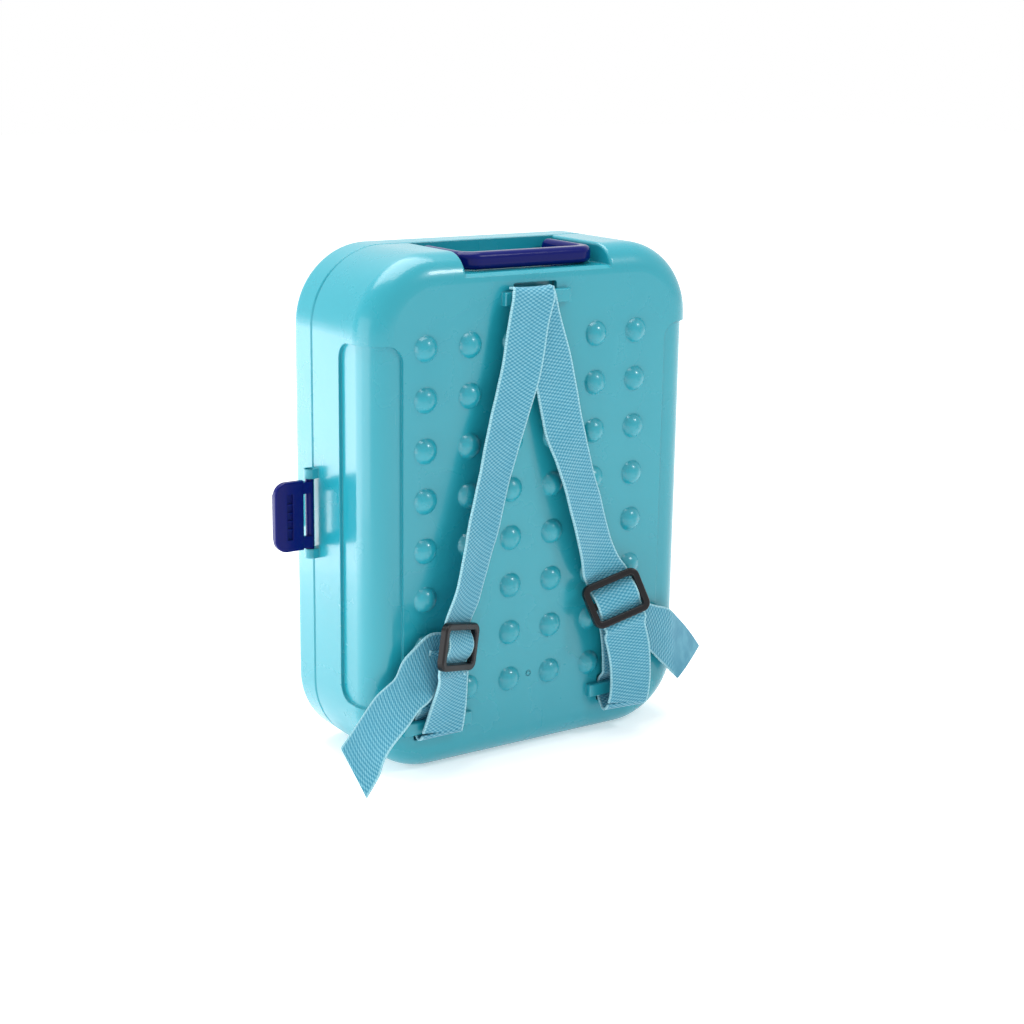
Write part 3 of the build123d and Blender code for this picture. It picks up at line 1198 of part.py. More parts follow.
TRIGGER_X = BOTTLE_X - CAP_RADIUS - TRIGGER_FROM_CAP
TRIGGER_Z = HEAD_Z + TRIGGER_RISE
TRIGGER_EYE = TRIGGER_PIN_RADIUS + TRIGGER_EYE_WALL
with BuildPart() as spray_head:
    with BuildSketch(Plane.XY.offset(CAP_Z)):
        with Locations((BOTTLE_X, BOTTLE_Y)):
            Circle(CAP_RADIUS)
            Circle(NECK_RADIUS + FIT_CLEARANCE, mode=Mode.SUBTRACT)
    extrude(amount=CAP_HEIGHT)
    with BuildSketch(Plane.XY.offset(HEAD_Z)):
        with Locations((BOTTLE_X + CAP_RADIUS, BOTTLE_Y)):
            Rectangle(HEAD_LENGTH, HEAD_DEPTH, align=(Align.MAX, Align.CENTER))
    extrude(amount=HEAD_HEIGHT)
    fillet(spray_head.edges().filter_by(Axis.Z).group_by(Axis.X)[0], HEAD_CORNER)
    with BuildSketch(Plane.XY.offset(HEAD_Z)):
        with Locations((TRIGGER_X, BOTTLE_Y)):
            Rectangle(
                TRIGGER_THICKNESS + 2 * TRIGGER_SWING_GAP, TRIGGER_WIDTH + 2 * TRIGGER_SIDE_GAP
            )
    extrude(amount=TRIGGER_RISE + TRIGGER_EYE + TRIGGER_SWING_GAP / 2, mode=Mode.SUBTRACT)
    with Locations((TRIGGER_X, BOTTLE_Y, TRIGGER_Z)):
        Cylinder(TRIGGER_PIN_RADIUS, HEAD_DEPTH, rotation=(90, 0, 0))
spray_head.part.label = "spray_head"
export_step(spray_head.part, "parts/spray_head.step")

with BuildPart() as spray_trigger:
    with BuildSketch(Plane.XZ.offset(-BOTTLE_Y - TRIGGER_WIDTH / 2)):
        with Locations((TRIGGER_X, TRIGGER_Z - TRIGGER_LENGTH / 2)):
            Rectangle(TRIGGER_THICKNESS, TRIGGER_LENGTH)
        with Locations((TRIGGER_X, TRIGGER_Z)):
            Circle(TRIGGER_EYE)
            Circle(TRIGGER_PIN_RADIUS + FIT_CLEARANCE, mode=Mode.SUBTRACT)
    extrude(amount=TRIGGER_WIDTH)
spray_trigger.part.label = "spray_trigger"
export_step(spray_trigger.part, "parts/spray_trigger.step")
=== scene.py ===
import json
import math
import random

import bmesh
import bpy
from mathutils import Matrix, Vector


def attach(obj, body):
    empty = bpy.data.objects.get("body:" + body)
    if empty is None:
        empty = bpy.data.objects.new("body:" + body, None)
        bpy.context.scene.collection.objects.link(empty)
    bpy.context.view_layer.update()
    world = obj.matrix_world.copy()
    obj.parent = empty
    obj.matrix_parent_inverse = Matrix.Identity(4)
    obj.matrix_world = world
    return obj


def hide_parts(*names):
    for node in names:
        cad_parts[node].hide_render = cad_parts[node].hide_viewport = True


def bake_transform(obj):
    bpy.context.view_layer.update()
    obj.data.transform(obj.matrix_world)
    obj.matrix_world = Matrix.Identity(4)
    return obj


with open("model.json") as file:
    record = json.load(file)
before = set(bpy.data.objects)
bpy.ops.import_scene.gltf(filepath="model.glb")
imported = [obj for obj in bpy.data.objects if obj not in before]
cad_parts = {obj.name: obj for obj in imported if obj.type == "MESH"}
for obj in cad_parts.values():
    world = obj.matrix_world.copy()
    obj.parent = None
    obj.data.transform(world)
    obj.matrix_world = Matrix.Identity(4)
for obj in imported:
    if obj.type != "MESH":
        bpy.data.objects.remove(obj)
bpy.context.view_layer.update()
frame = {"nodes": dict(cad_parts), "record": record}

# Toy pet grooming set in a moulded backpack case, seen from behind. Sizes are in metres, and the
# webbing's stations are given in millimetres. The back panel faces -Y.

MM = 0.001
PANEL_Y = -40.0
OUTWARD = Vector((0, -1, 0))

WEBBING_WIDTH = 25.0
WEBBING_THICKNESS = 1.2
ROW_LENGTH = 1.5
ACROSS_FACES = 12

# Camera, solved from the photograph
CAMERA_PLACE = Vector((-0.55315, -0.83155, 0.37561))
CAMERA_AZIMUTH = math.radians(-34.161)
CAMERA_ELEVATION = math.radians(14.135)
CAMERA_ROLL = math.radians(0.815)
CAMERA_LENS = 66.273
CAMERA_SENSOR = 36.0

scene = bpy.context.scene
scene.view_settings.view_transform = "Standard"


# Camera
def make_camera():
    back = Vector(
        (
            math.sin(CAMERA_AZIMUTH) * math.cos(CAMERA_ELEVATION),
            -math.cos(CAMERA_AZIMUTH) * math.cos(CAMERA_ELEVATION),
            math.sin(CAMERA_ELEVATION),
        )
    )
    level_right = Vector((math.cos(CAMERA_AZIMUTH), math.sin(CAMERA_AZIMUTH), 0))
    level_up = back.cross(level_right)
    right = math.cos(CAMERA_ROLL) * level_right + math.sin(CAMERA_ROLL) * level_up
    up = -math.sin(CAMERA_ROLL) * level_right + math.cos(CAMERA_ROLL) * level_up
    data = bpy.data.cameras.new("camera")
    data.lens = CAMERA_LENS
    data.sensor_width = CAMERA_SENSOR
    camera = bpy.data.objects.new("camera", data)
    scene.collection.objects.link(camera)
    turn = Matrix((right, up, back)).transposed().to_4x4()
    camera.matrix_world = Matrix.Translation(CAMERA_PLACE) @ turn
    scene.camera = camera


make_camera()


# Light
def softbox(name, place, aim, width, height, watts):
    """A rectangular soft light that looks from place toward aim."""
    data = bpy.data.lights.new(name, "AREA")
    data.shape = "RECTANGLE"
    data.size = width
    data.size_y = height
    data.energy = watts
    light = bpy.data.objects.new(name, data)
    scene.collection.objects.link(light)
    look = (Vector(aim) - Vector(place)).to_track_quat("-Z", "Y")
    light.matrix_world = Matrix.Translation(place) @ look.to_matrix().to_4x4()


# The last three values are the width, the height and the power
CASE_MIDDLE = (0, 0, 0.13)
softbox("side_softbox", (-0.62, 0.0, 0.20), CASE_MIDDLE, 0.5, 0.4, 1.3)
softbox("low_side_softbox", (-0.33, 0.28, 0.10), (-0.1, 0, 0.10), 0.44, 0.2, 0.62)
softbox("top_softbox", (-0.1, 0.25, 1.2), CASE_MIDDLE, 1.0, 1.0, 16.0)
softbox("front_softbox", (0.6, -0.9, 1.05), CASE_MIDDLE, 0.24, 0.24, 4.6)


class Nodes:
    """A short way to add and link shader nodes in one tree."""

    def __init__(self, tree):
        self.tree = tree

    def add(self, kind, settings=None, **inputs):
        node = self.tree.nodes.new(kind)
        for name, value in (settings or {}).items():
            setattr(node, name, value)
        for name, value in inputs.items():
            self.feed(node, name.replace("_", " "), value)
        return node

    def feed(self, node, name, value):
        socket = node.inputs[int(name) if name.isdigit() else name]
        if isinstance(value, bpy.types.NodeSocket):
            self.tree.links.new(value, socket)
        else:
            socket.default_value = value

    def math(self, operation, first, second=0.0, third=0.0):
        node = self.add("ShaderNodeMath", {"operation": operation})
        for index, value in enumerate((first, second, third)):
            self.feed(node, str(index), value)
        return node.outputs[0]

    def ramp(self, value, low, high, low_to=0.0, high_to=1.0):
        node = self.add("ShaderNodeMapRange", {"interpolation_type": "SMOOTHSTEP"})
        for name, setting in (
            ("Value", value),
            ("From Min", low),
            ("From Max", high),
            ("To Min", low_to),
            ("To Max", high_to),
        ):
            self.feed(node, name, setting)
        return node.outputs["Result"]

    def mix(self, amount, first, second):
        node = self.add("ShaderNodeMix", {"data_type": "RGBA"})
        self.feed(node, "0", amount)
        for index, value in ((6, first), (7, second)):
            self.feed(node, str(index), value)
        return node.outputs[2]

    def noise(self, place, scale, detail=2.0):
        node = self.add("ShaderNodeTexNoise", Vector=place, Scale=scale, Detail=detail)
        return node.outputs["Fac"]


WORLD_LIGHT = 0.55


def light_the_world():
    """White where it is seen or mirrored, and dimmer as light on the object."""
    world = bpy.data.worlds.new("studio")
    scene.world = world
    world.use_nodes = True
    nodes = Nodes(world.node_tree)
    background = world.node_tree.nodes["Background"]
    path = nodes.add("ShaderNodeLightPath")
    seen = nodes.math("MAXIMUM", path.outputs["Is Camera Ray"], path.outputs["Is Glossy Ray"])
    seen = nodes.math("MAXIMUM", seen, path.outputs["Is Transmission Ray"])
    strength = nodes.ramp(seen, 0.0, 1.0, WORLD_LIGHT, 1.0)
    background.inputs["Color"].default_value = (1, 1, 1, 1)
    nodes.feed(background, "Strength", strength)


light_the_world()


# Shared effects, each a node group
def new_group(name, inputs, outputs):
    """A shader node group with float, colour or vector sockets, its helper and its two ends."""
    group = bpy.data.node_groups.new(name, "ShaderNodeTree")
    kinds = {"f": "NodeSocketFloat", "c": "NodeSocketColor", "v": "NodeSocketVector"}
    for socket, kind in inputs:
        group.interface.new_socket(socket, in_out="INPUT", socket_type=kinds[kind])
    for socket, kind in outputs:
        group.interface.new_socket(socket, in_out="OUTPUT", socket_type=kinds[kind])
    start = group.nodes.new("NodeGroupInput").outputs
    end = group.nodes.new("NodeGroupOutput")
    return group, Nodes(group), start, end


def moulded_group():
    """Moulded plastic: flow mottling, smudged gloss, fine scuffs and a soft uneven skin."""
    group, nodes, start, end = new_group(
        "moulded_plastic",
        [
            ("Place", "v"),
            ("Colour", "c"),
            ("Shade", "c"),
            ("Mottle", "f"),
            ("Gloss Low", "f"),
            ("Gloss High", "f"),
            ("Grain Scale", "f"),
        ],
        [("Colour", "c"), ("Roughness", "f"), ("Height", "f")],
    )
    flow = nodes.noise(start["Place"], 9.0, 3.0)
    flow = nodes.ramp(flow, 0.3, 0.7)
    amount = nodes.math("MULTIPLY", flow, start["Mottle"])
    colour = nodes.mix(amount, start["Colour"], start["Shade"])
    smudge = nodes.noise(start["Place"], 26.0, 5.0)
    smudge = nodes.ramp(smudge, 0.42, 0.72)
    stretched = nodes.add("ShaderNodeMapping", Vector=start["Place"], Scale=(900.0, 900.0, 60.0))
    scuff = nodes.noise(stretched.outputs[0], 1.0, 2.0)
    scuff = nodes.ramp(scuff, 0.66, 0.78)
    patch = nodes.ramp(nodes.noise(start["Place"], 14.0, 2.0), 0.52, 0.66)
    scuff = nodes.math("MULTIPLY", scuff, patch)
    span = nodes.math("SUBTRACT", start["Gloss High"], start["Gloss Low"])
    rough = nodes.math("MULTIPLY_ADD", smudge, span, start["Gloss Low"])
    rough = nodes.math("MULTIPLY_ADD", scuff, 0.08, rough)
    peel = nodes.noise(start["Place"], 150.0, 1.0)
    grain = nodes.noise(start["Place"], start["Grain Scale"], 1.0)
    height = nodes.math("MULTIPLY_ADD", grain, 0.12, nodes.math("MULTIPLY", peel, 0.9))
    nodes.feed(end, "Colour", colour)
    nodes.feed(end, "Roughness", rough)
    nodes.feed(end, "Height", height)
    return group


def weave_group():
    """Webbing: offset rows of yarn floats over painted-shade gaps, and looped selvedges with a painted
    highlight.
    """
    group, nodes, start, end = new_group(
        "webbing_weave",
        [("Place", "v"), ("Across Pitch", "f"), ("Along Pitch", "f"), ("Half Width", "f")],
        [("Height", "f"), ("Edge", "f"), ("Float", "f")],
    )
    split = nodes.add("ShaderNodeSeparateXYZ", Vector=start["Place"]).outputs
    wobble = nodes.noise(start["Place"], 220.0, 2.0)
    wobble = nodes.math("MULTIPLY_ADD", wobble, 0.9, -0.45)
    turn = 2 * math.pi
    across = nodes.math("DIVIDE", split["X"], start["Across Pitch"])
    along = nodes.math("DIVIDE", split["Y"], start["Along Pitch"])
    across_wave = nodes.math("COSINE", nodes.math("MULTIPLY_ADD", across, turn, wobble))
    along_wave = nodes.math("COSINE", nodes.math("MULTIPLY_ADD", along, turn, wobble))
    lattice = nodes.math("MULTIPLY", across_wave, along_wave)
    yarn = nodes.ramp(lattice, -0.55, 0.8)
    row = nodes.math("SINE", nodes.math("MULTIPLY", along, turn))
    loop = nodes.math("ABSOLUTE", row)
    rib = nodes.math("MULTIPLY", loop, 0.25)
    from_middle = nodes.math("ABSOLUTE", split["X"])
    inside = nodes.math("SUBTRACT", start["Half Width"], from_middle)
    edge = nodes.ramp(inside, 0.0004, 0.0014, 1.0, 0.0)
    edge_loop = nodes.math("MULTIPLY", edge, loop)
    height = nodes.math("MULTIPLY_ADD", yarn, 0.75, rib)
    height = nodes.math("MULTIPLY_ADD", edge_loop, 0.5, height)
    # The selvedge band, stronger on each loop, is the mask of a painted highlight.
    selvedge_highlight_pattern = nodes.math("MULTIPLY_ADD", loop, 0.6, 0.4)
    nodes.feed(end, "Height", height)
    nodes.feed(end, "Edge", nodes.math("MULTIPLY", edge, selvedge_highlight_pattern))
    nodes.feed(end, "Float", yarn)
    return group


MOULDED = moulded_group()
WEAVE = weave_group()


def new_material(name):
    material = bpy.data.materials.new(name)
    material.use_nodes = True
    nodes = Nodes(material.node_tree)
    shader = material.node_tree.nodes["Principled BSDF"]
    return material, nodes, shader


def plastic(
    name, colour, shade, gloss, edge=0.0006, mottle=0.5, bump=0.1, coat=0.0, grain=900.0, specular=0.5
):
    """Moulded plastic with soft edges. Gloss is the lowest and highest roughness."""
    material, nodes, shader = new_material(name)
    place = nodes.add("ShaderNodeTexCoord").outputs["Object"]
    skin = nodes.add("ShaderNodeGroup", {"node_tree": MOULDED})
    for socket, value in (
        ("Place", place),
        ("Colour", (*colour, 1)),
        ("Shade", (*shade, 1)),
        ("Mottle", mottle),
        ("Gloss Low", gloss[0]),
        ("Gloss High", gloss[1]),
        ("Grain Scale", grain),
    ):
        nodes.feed(skin, socket, value)
    nodes.feed(shader, "Base Color", skin.outputs["Colour"])
    nodes.feed(shader, "Roughness", skin.outputs["Roughness"])
    soft = nodes.add("ShaderNodeBevel", {"samples": 4}, Radius=edge)
    relief = nodes.add(
        "ShaderNodeBump",
        Strength=bump,
        Distance=0.0004,
        Height=skin.outputs["Height"],
        Normal=soft.outputs["Normal"],
    )
    nodes.feed(shader, "Normal", relief.outputs["Normal"])
    shader.inputs["Specular IOR Level"].default_value = specular
    shader.inputs["Coat Weight"].default_value = coat
    shader.inputs["Coat Roughness"].default_value = 0.06
    return material


def steel(name, colour, gloss, brushed):
    """Steel with fine grinding lines along brushed, which is x, y or z."""
    material, nodes, shader = new_material(name)
    place = nodes.add("ShaderNodeTexCoord").outputs["Object"]
    fine, coarse = 2600.0, 60.0
    scale = [coarse if axis == brushed else fine for axis in "xyz"]
    lines = nodes.add("ShaderNodeMapping", Vector=place, Scale=scale).outputs[0]
    brush = nodes.noise(lines, 1.0, 3.0)
    stain = nodes.ramp(nodes.noise(place, 45.0, 4.0), 0.35, 0.7)
    dull = [0.8 * part for part in colour]
    nodes.feed(shader, "Base Color", nodes.mix(stain, (*colour, 1), (*dull, 1)))
    nodes.feed(shader, "Roughness", nodes.ramp(brush, 0.3, 0.7, gloss[0], gloss[1]))
    shader.inputs["Metallic"].default_value = 1.0
    relief = nodes.add("ShaderNodeBump", Strength=0.12, Distance=0.0001, Height=brush)
    nodes.feed(shader, "Normal", relief.outputs["Normal"])
    return material


YARN_PITCH = (0.0034, 0.0020)
# The gap colour is painted shade between the yarn floats.
YARN_GAP_PAINTED_SHADE = (0.030, 0.24, 0.36, 1)
YARN = (0.17, 0.46, 0.57, 1)
YARN_DEEP = (0.13, 0.42, 0.54, 1)
# The edge colour is a painted highlight along the selvedges.
SELVEDGE_PAINTED_HIGHLIGHT = (0.36, 0.68, 0.76, 1)
FILM = (0.05, 0.25, 0.36, 1)
FILM_PALE = (0.10, 0.34, 0.45, 1)


def webbing_cloth(name, sealed_from=None):
    """Woven webbing. Its UV map is in metres, across and along. Past sealed_from it is melted flat."""
    material, nodes, shader = new_material(name)
    place = nodes.add("ShaderNodeUVMap", {"uv_map": "webbing"}).outputs["UV"]
    weave = nodes.add("ShaderNodeGroup", {"node_tree": WEAVE})
    nodes.feed(weave, "Place", place)
    nodes.feed(weave, "Across Pitch", YARN_PITCH[0])
    nodes.feed(weave, "Along Pitch", YARN_PITCH[1])
    nodes.feed(weave, "Half Width", WEBBING_WIDTH / 2 * MM)
    dye = nodes.ramp(nodes.noise(place, 60.0, 3.0), 0.3, 0.7)
    yarn_colour = nodes.mix(dye, YARN, YARN_DEEP)
    # The gaps between the yarn floats are painted darker: painted shade.
    colour = nodes.mix(weave.outputs["Float"], YARN_GAP_PAINTED_SHADE, yarn_colour)
    # The selvedges are painted lighter: a painted highlight.
    colour = nodes.mix(weave.outputs["Edge"], colour, SELVEDGE_PAINTED_HIGHLIGHT)
    rough = nodes.ramp(weave.outputs["Float"], 0.0, 1.0, 0.75, 0.42)
    height = weave.outputs["Height"]
    if sealed_from is not None:
        split = nodes.add("ShaderNodeSeparateXYZ", Vector=place).outputs
        ragged = nodes.math("MULTIPLY_ADD", nodes.noise(place, 130.0, 2.0), 0.008, split["Y"])
        slanted = nodes.math("MULTIPLY_ADD", split["X"], -0.35, ragged)
        melted = nodes.ramp(slanted, sealed_from - 0.001, sealed_from + 0.005)
        cloud = nodes.ramp(nodes.noise(place, 90.0, 3.0), 0.35, 0.7)
        film = nodes.mix(cloud, FILM, FILM_PALE)
        colour = nodes.mix(melted, colour, film)
        rough = nodes.ramp(melted, 0.0, 1.0, 0.5, 0.36)
        height = nodes.math("MULTIPLY", height, nodes.ramp(melted, 0.0, 1.0, 1.0, 0.12))
    nodes.feed(shader, "Base Color", colour)
    nodes.feed(shader, "Roughness", rough)
    relief = nodes.add("ShaderNodeBump", Strength=0.7, Distance=0.0005, Height=height)
    nodes.feed(shader, "Normal", relief.outputs["Normal"])
    shader.inputs["Sheen Weight"].default_value = 0.25
    shader.inputs["Sheen Roughness"].default_value = 0.4
    return material


CASE = plastic(
    "case_plastic", (0.014, 0.30, 0.375), (0.008, 0.27, 0.35), (0.24, 0.34), 0.0008, coat=0.22
)
NAVY = plastic(
    "navy_plastic", (0.001, 0.005, 0.12), (0.002, 0.005, 0.095), (0.14, 0.24), 0.0005, specular=0.14
)
BUCKLE = plastic(
    "buckle_plastic", (0.003, 0.003, 0.004), (0.007, 0.006, 0.008), (0.26, 0.38), 0.0006,
    bump=0.2, grain=1600.0, specular=0.3,
)
TRAY = plastic("tray_plastic", (0.62, 0.66, 0.66), (0.57, 0.61, 0.62), (0.34, 0.5), 0.0008)
CORAL = plastic("coral_plastic", (0.80, 0.14, 0.10), (0.70, 0.10, 0.08), (0.2, 0.34), 0.0006)
YELLOW = plastic("yellow_plastic", (0.84, 0.52, 0.04), (0.76, 0.45, 0.03), (0.2, 0.34), 0.0006)
WHITE = plastic("white_plastic", (0.74, 0.74, 0.71), (0.69, 0.69, 0.66), (0.2, 0.34), 0.0006)
STEEL = steel("steel", (0.60, 0.61, 0.63), (0.2, 0.36), "z")
CLOTH = webbing_cloth("webbing")
SEALED_FROM = 0.034
CLOTH_SEALED = webbing_cloth("webbing_sealed_end", SEALED_FROM)

FINISHES = {
    "case_plastic": CASE,
    "navy_plastic": NAVY,
    "webbing": CLOTH,
    "buckle_plastic": BUCKLE,
    "tray_plastic": TRAY,
    "steel": STEEL,
    "coral_plastic": CORAL,
    "yellow_plastic": YELLOW,
    "white_plastic": WHITE,
}


def finish_frame():
    """Every CAD node takes the finished material of its record slot."""
    for entry in frame["record"]["subparts"]:
        materials = frame["nodes"][entry["node"]].data.materials
        materials.clear()
        materials.append(FINISHES[entry["material_slot"]])


finish_frame()


def new_piece(name, form, material):
    """An object with the finished form as its mesh."""
    mesh = bpy.data.meshes.new(name)
    form.to_mesh(mesh)
    form.free()
    mesh.materials.append(material)
    piece = bpy.data.objects.new(name, mesh)
    scene.collection.objects.link(piece)
    return piece


# Floor
FLOOR_SIZE = 6.0


def make_floor():
    form = bmesh.new()
    bmesh.ops.create_grid(form, x_segments=1, y_segments=1, size=FLOOR_SIZE)
    material, nodes, shader = new_material("floor_paper")
    place = nodes.add("ShaderNodeTexCoord").outputs["Object"]
    fibre = nodes.ramp(nodes.noise(place, 40.0, 3.0), 0.3, 0.7)
    nodes.feed(shader, "Base Color", nodes.mix(fibre, (0.90, 0.90, 0.90, 1), (0.92, 0.92, 0.92, 1)))
    shader.inputs["Roughness"].default_value = 0.9
    shader.inputs["Specular IOR Level"].default_value = 0.0
    shader.inputs["Emission Color"].default_value = (1, 1, 1, 1)
    away = nodes.add("ShaderNodeVectorMath", {"operation": "LENGTH"})
    nodes.tree.links.new(place, away.inputs[0])
    nodes.feed(shader, "Emission Strength", nodes.ramp(away.outputs["Value"], 0.3, 1.6, 0.4, 1.0))
    new_piece("floor", form, material)


make_floor()


# Webbing
def along_stations(points, place):
    """The point at place, from 0 to the last index, on a smooth line through all the points."""
    index = min(int(place), len(points) - 2)
    part = place - index
    before = points[max(index - 1, 0)]
    first = points[index]
    second = points[index + 1]
    after = points[min(index + 2, len(points) - 1)]
    return 0.5 * (
        2 * first
        + (second - before) * part
        + (2 * before - 5 * first + 4 * second - after) * part**2
        + (3 * first - before - 3 * second + after) * part**3
    )


def even_places(points, count):
    """Places spread evenly by distance over a line of stations."""
    reached = [0.0]
    for first, second in zip(points, points[1:]):
        reached.append(reached[-1] + (second - first).length)
    places = []
    for step in range(count + 1):
        target = reached[-1] * step / count
        index = 0
        while index < len(points) - 2 and reached[index + 1] < target:
            index += 1
        part = (target - reached[index]) / (reached[index + 1] - reached[index])
        places.append(index + min(max(part, 0.0), 1.0))
    return places


COLUMNS = range(ACROSS_FACES + 1)
FEWEST_ROWS = 6
LONG_WAVE = 7.0
SHORT_WAVE = 3.1
EDGE_ROUNDING = 0.35
EDGE_SEGMENTS = 2
EDGE_ANGLE = math.radians(60)


def flat_points(left_edge, right_edge):
    """Rows of points from edge to edge, evenly spread along the run."""
    middle = [(left + right) / 2 for left, right in zip(left_edge, right_edge)]
    length = sum((second - first).length for first, second in zip(middle, middle[1:]))
    rows = max(FEWEST_ROWS, round(length / ROW_LENGTH))
    points = []
    for place in even_places(middle, rows):
        left = along_stations(left_edge, place)
        right = along_stations(right_edge, place)
        points.append([left.lerp(right, column / ACROSS_FACES) for column in COLUMNS])
    return points


def row_normals(points):
    """The way out from the webbing's face at each row."""
    half = ACROSS_FACES // 2
    normals = []
    for row, line in enumerate(points):
        before = points[max(row - 1, 0)]
        after = points[min(row + 1, len(points) - 1)]
        run = after[half] - before[half]
        across = line[-1] - line[0]
        normals.append(across.cross(run).normalized())
    return normals


def wave(points, bow, ripple, chance):
    """Bow the rows outward across the webbing, and let long and short waves run along it."""
    long_phase = chance.uniform(0, 2 * math.pi)
    short_phase = chance.uniform(0, 2 * math.pi)
    for row, normal in enumerate(row_normals(points)):
        run = row * ROW_LENGTH
        for column in COLUMNS:
            side = 2 * column / ACROSS_FACES - 1
            lift = bow * (1 - side**2)
            lift += ripple * math.sin(run / LONG_WAVE + long_phase + side)
            lift += 0.5 * ripple * math.sin(run / SHORT_WAVE + short_phase - 2 * side)
            points[row][column] = points[row][column] + normal * lift


def lengths_along(points):
    """How far along the webbing each point lies, column by column."""
    reached = [[0.0] * len(COLUMNS)]
    for last, line in zip(points, points[1:]):
        steps = [(line[column] - last[column]).length for column in COLUMNS]
        reached.append([before + step for before, step in zip(reached[-1], steps)])
    return reached


def ribbon(name, left_edge, right_edge, material, bow=0.0, ripple=0.15):
    """A length of webbing between two edge lines, each with the same number of stations."""
    points = flat_points(left_edge, right_edge)
    wave(points, bow, ripple, random.Random(name))
    reached = lengths_along(points)
    rows = len(points) - 1
    form = bmesh.new()
    bmesh.ops.create_grid(form, x_segments=ACROSS_FACES, y_segments=rows, size=0.5)
    uv_layer = form.loops.layers.uv.new("webbing")
    cell = {}
    for vertex in form.verts:
        column = round((vertex.co.x + 0.5) * ACROSS_FACES)
        row = round((vertex.co.y + 0.5) * rows)
        cell[vertex] = (row, column)
    for face in form.faces:
        for corner in face.loops:
            row, column = cell[corner.vert]
            side = column / ACROSS_FACES - 0.5
            corner[uv_layer].uv = (side * WEBBING_WIDTH * MM, reached[row][column] * MM)
    for vertex in form.verts:
        row, column = cell[vertex]
        vertex.co = points[row][column] * MM
    for face in form.faces:
        face.smooth = True
    piece = new_piece(name, form, material)
    body = piece.modifiers.new("body", "SOLIDIFY")
    body.thickness = WEBBING_THICKNESS * MM
    body.offset = 0.0
    body.use_even_offset = False
    rounding = piece.modifiers.new("rounding", "BEVEL")
    rounding.width = EDGE_ROUNDING * MM
    rounding.segments = EDGE_SEGMENTS
    rounding.limit_method = "ANGLE"
    rounding.angle_limit = EDGE_ANGLE
    settle(piece)
    return piece


def settle(piece):
    """The piece's modifiers become part of its mesh."""
    depsgraph = bpy.context.evaluated_depsgraph_get()
    done = bpy.data.meshes.new_from_object(piece.evaluated_get(depsgraph), depsgraph=depsgraph)
    done.name = piece.name
    piece.modifiers.clear()
    old = piece.data
    piece.data = done
    bpy.data.meshes.remove(old)


def edges_of(stations, level=False):
    """Two edge lines from stations of (x, rise, z, twist). Twist raises the left edge.

    Level edges stay along X, as where webbing turns round a bar.
    """
    middles = [Vector((x, PANEL_Y - rise, z)) for x, rise, z, _ in stations]
    left_edge = []
    right_edge = []
    for index, (middle, station) in enumerate(zip(middles, stations)):
        before = middles[max(index - 1, 0)]
        after = middles[min(index + 1, len(middles) - 1)]
        run = (after - before).normalized()
        twist = math.radians(station[3])
        across = Vector((math.cos(twist), math.sin(twist), 0))
        if not level:
            across = (across - run * across.dot(run)).normalized()
        left_edge.append(middle - across * WEBBING_WIDTH / 2)
        right_edge.append(middle + across * WEBBING_WIDTH / 2)
    return left_edge, right_edge


# The buckle frames: middle of the back face, the way down their strap, twist and pitch
LEFT_FRAME = ((-58.7, 13.6, 72.1), (-0.268, -0.963), 25.7, 7.4)
RIGHT_FRAME = ((44.0, 12.4, 81.4), (0.310, -0.951), -11.7, 22.9)
FRAME_HALF_HEIGHT = 12.5
END_BAR = 3.9
CROSS_BAR_TOP = 1.9

# The webbing goes behind the end bars and over the cross bar, a little off the frame's middle
LEAN = 0.5
FRAME_CLEARANCE = 0.3
CROSS_BAR_REACH = 4.0
BEHIND = -FRAME_CLEARANCE - WEBBING_THICKNESS / 2
OVER = CROSS_BAR_TOP + FRAME_CLEARANCE + WEBBING_THICKNESS / 2
THROUGH = (
    (-FRAME_HALF_HEIGHT - 1.0, BEHIND),
    (-FRAME_HALF_HEIGHT + END_BAR, BEHIND + 0.1),
    (-CROSS_BAR_REACH, OVER - 0.9),
    (0.0, OVER),
    (CROSS_BAR_REACH, OVER - 0.9),
    (FRAME_HALF_HEIGHT - END_BAR, BEHIND + 0.1),
    (FRAME_HALF_HEIGHT, BEHIND),
    (FRAME_HALF_HEIGHT + 3.0, BEHIND),
)
BELOW_FRAME = (
    (FRAME_HALF_HEIGHT - 1.0, BEHIND),
    (FRAME_HALF_HEIGHT + 3.0, BEHIND),
)


def frame_axes(buckle):
    """Middle, down, across and out vectors of a buckle frame."""
    (x, rise, z), (down_x, down_z), twist, pitch = buckle
    down = Vector((down_x, 0, down_z)).normalized()
    across = OUTWARD.cross(down)
    twist = math.radians(twist)
    pitch = math.radians(pitch)
    turned = math.cos(twist) * across - math.sin(twist) * OUTWARD
    out = math.cos(twist) * OUTWARD + math.sin(twist) * across
    tipped_down = math.cos(pitch) * down + math.sin(pitch) * out
    tipped_out = math.cos(pitch) * out - math.sin(pitch) * down
    return Vector((x, PANEL_Y - rise, z)), tipped_down, turned, tipped_out


def frame_edges(buckle, path):
    """Edge lines of webbing through a buckle, from (along, out) steps in its own frame."""
    middle, down, across, out = frame_axes(buckle)
    centres = [middle + down * along + out * lift + across * LEAN for along, lift in path]
    half = across * WEBBING_WIDTH / 2
    return [centre - half for centre in centres], [centre + half for centre in centres]


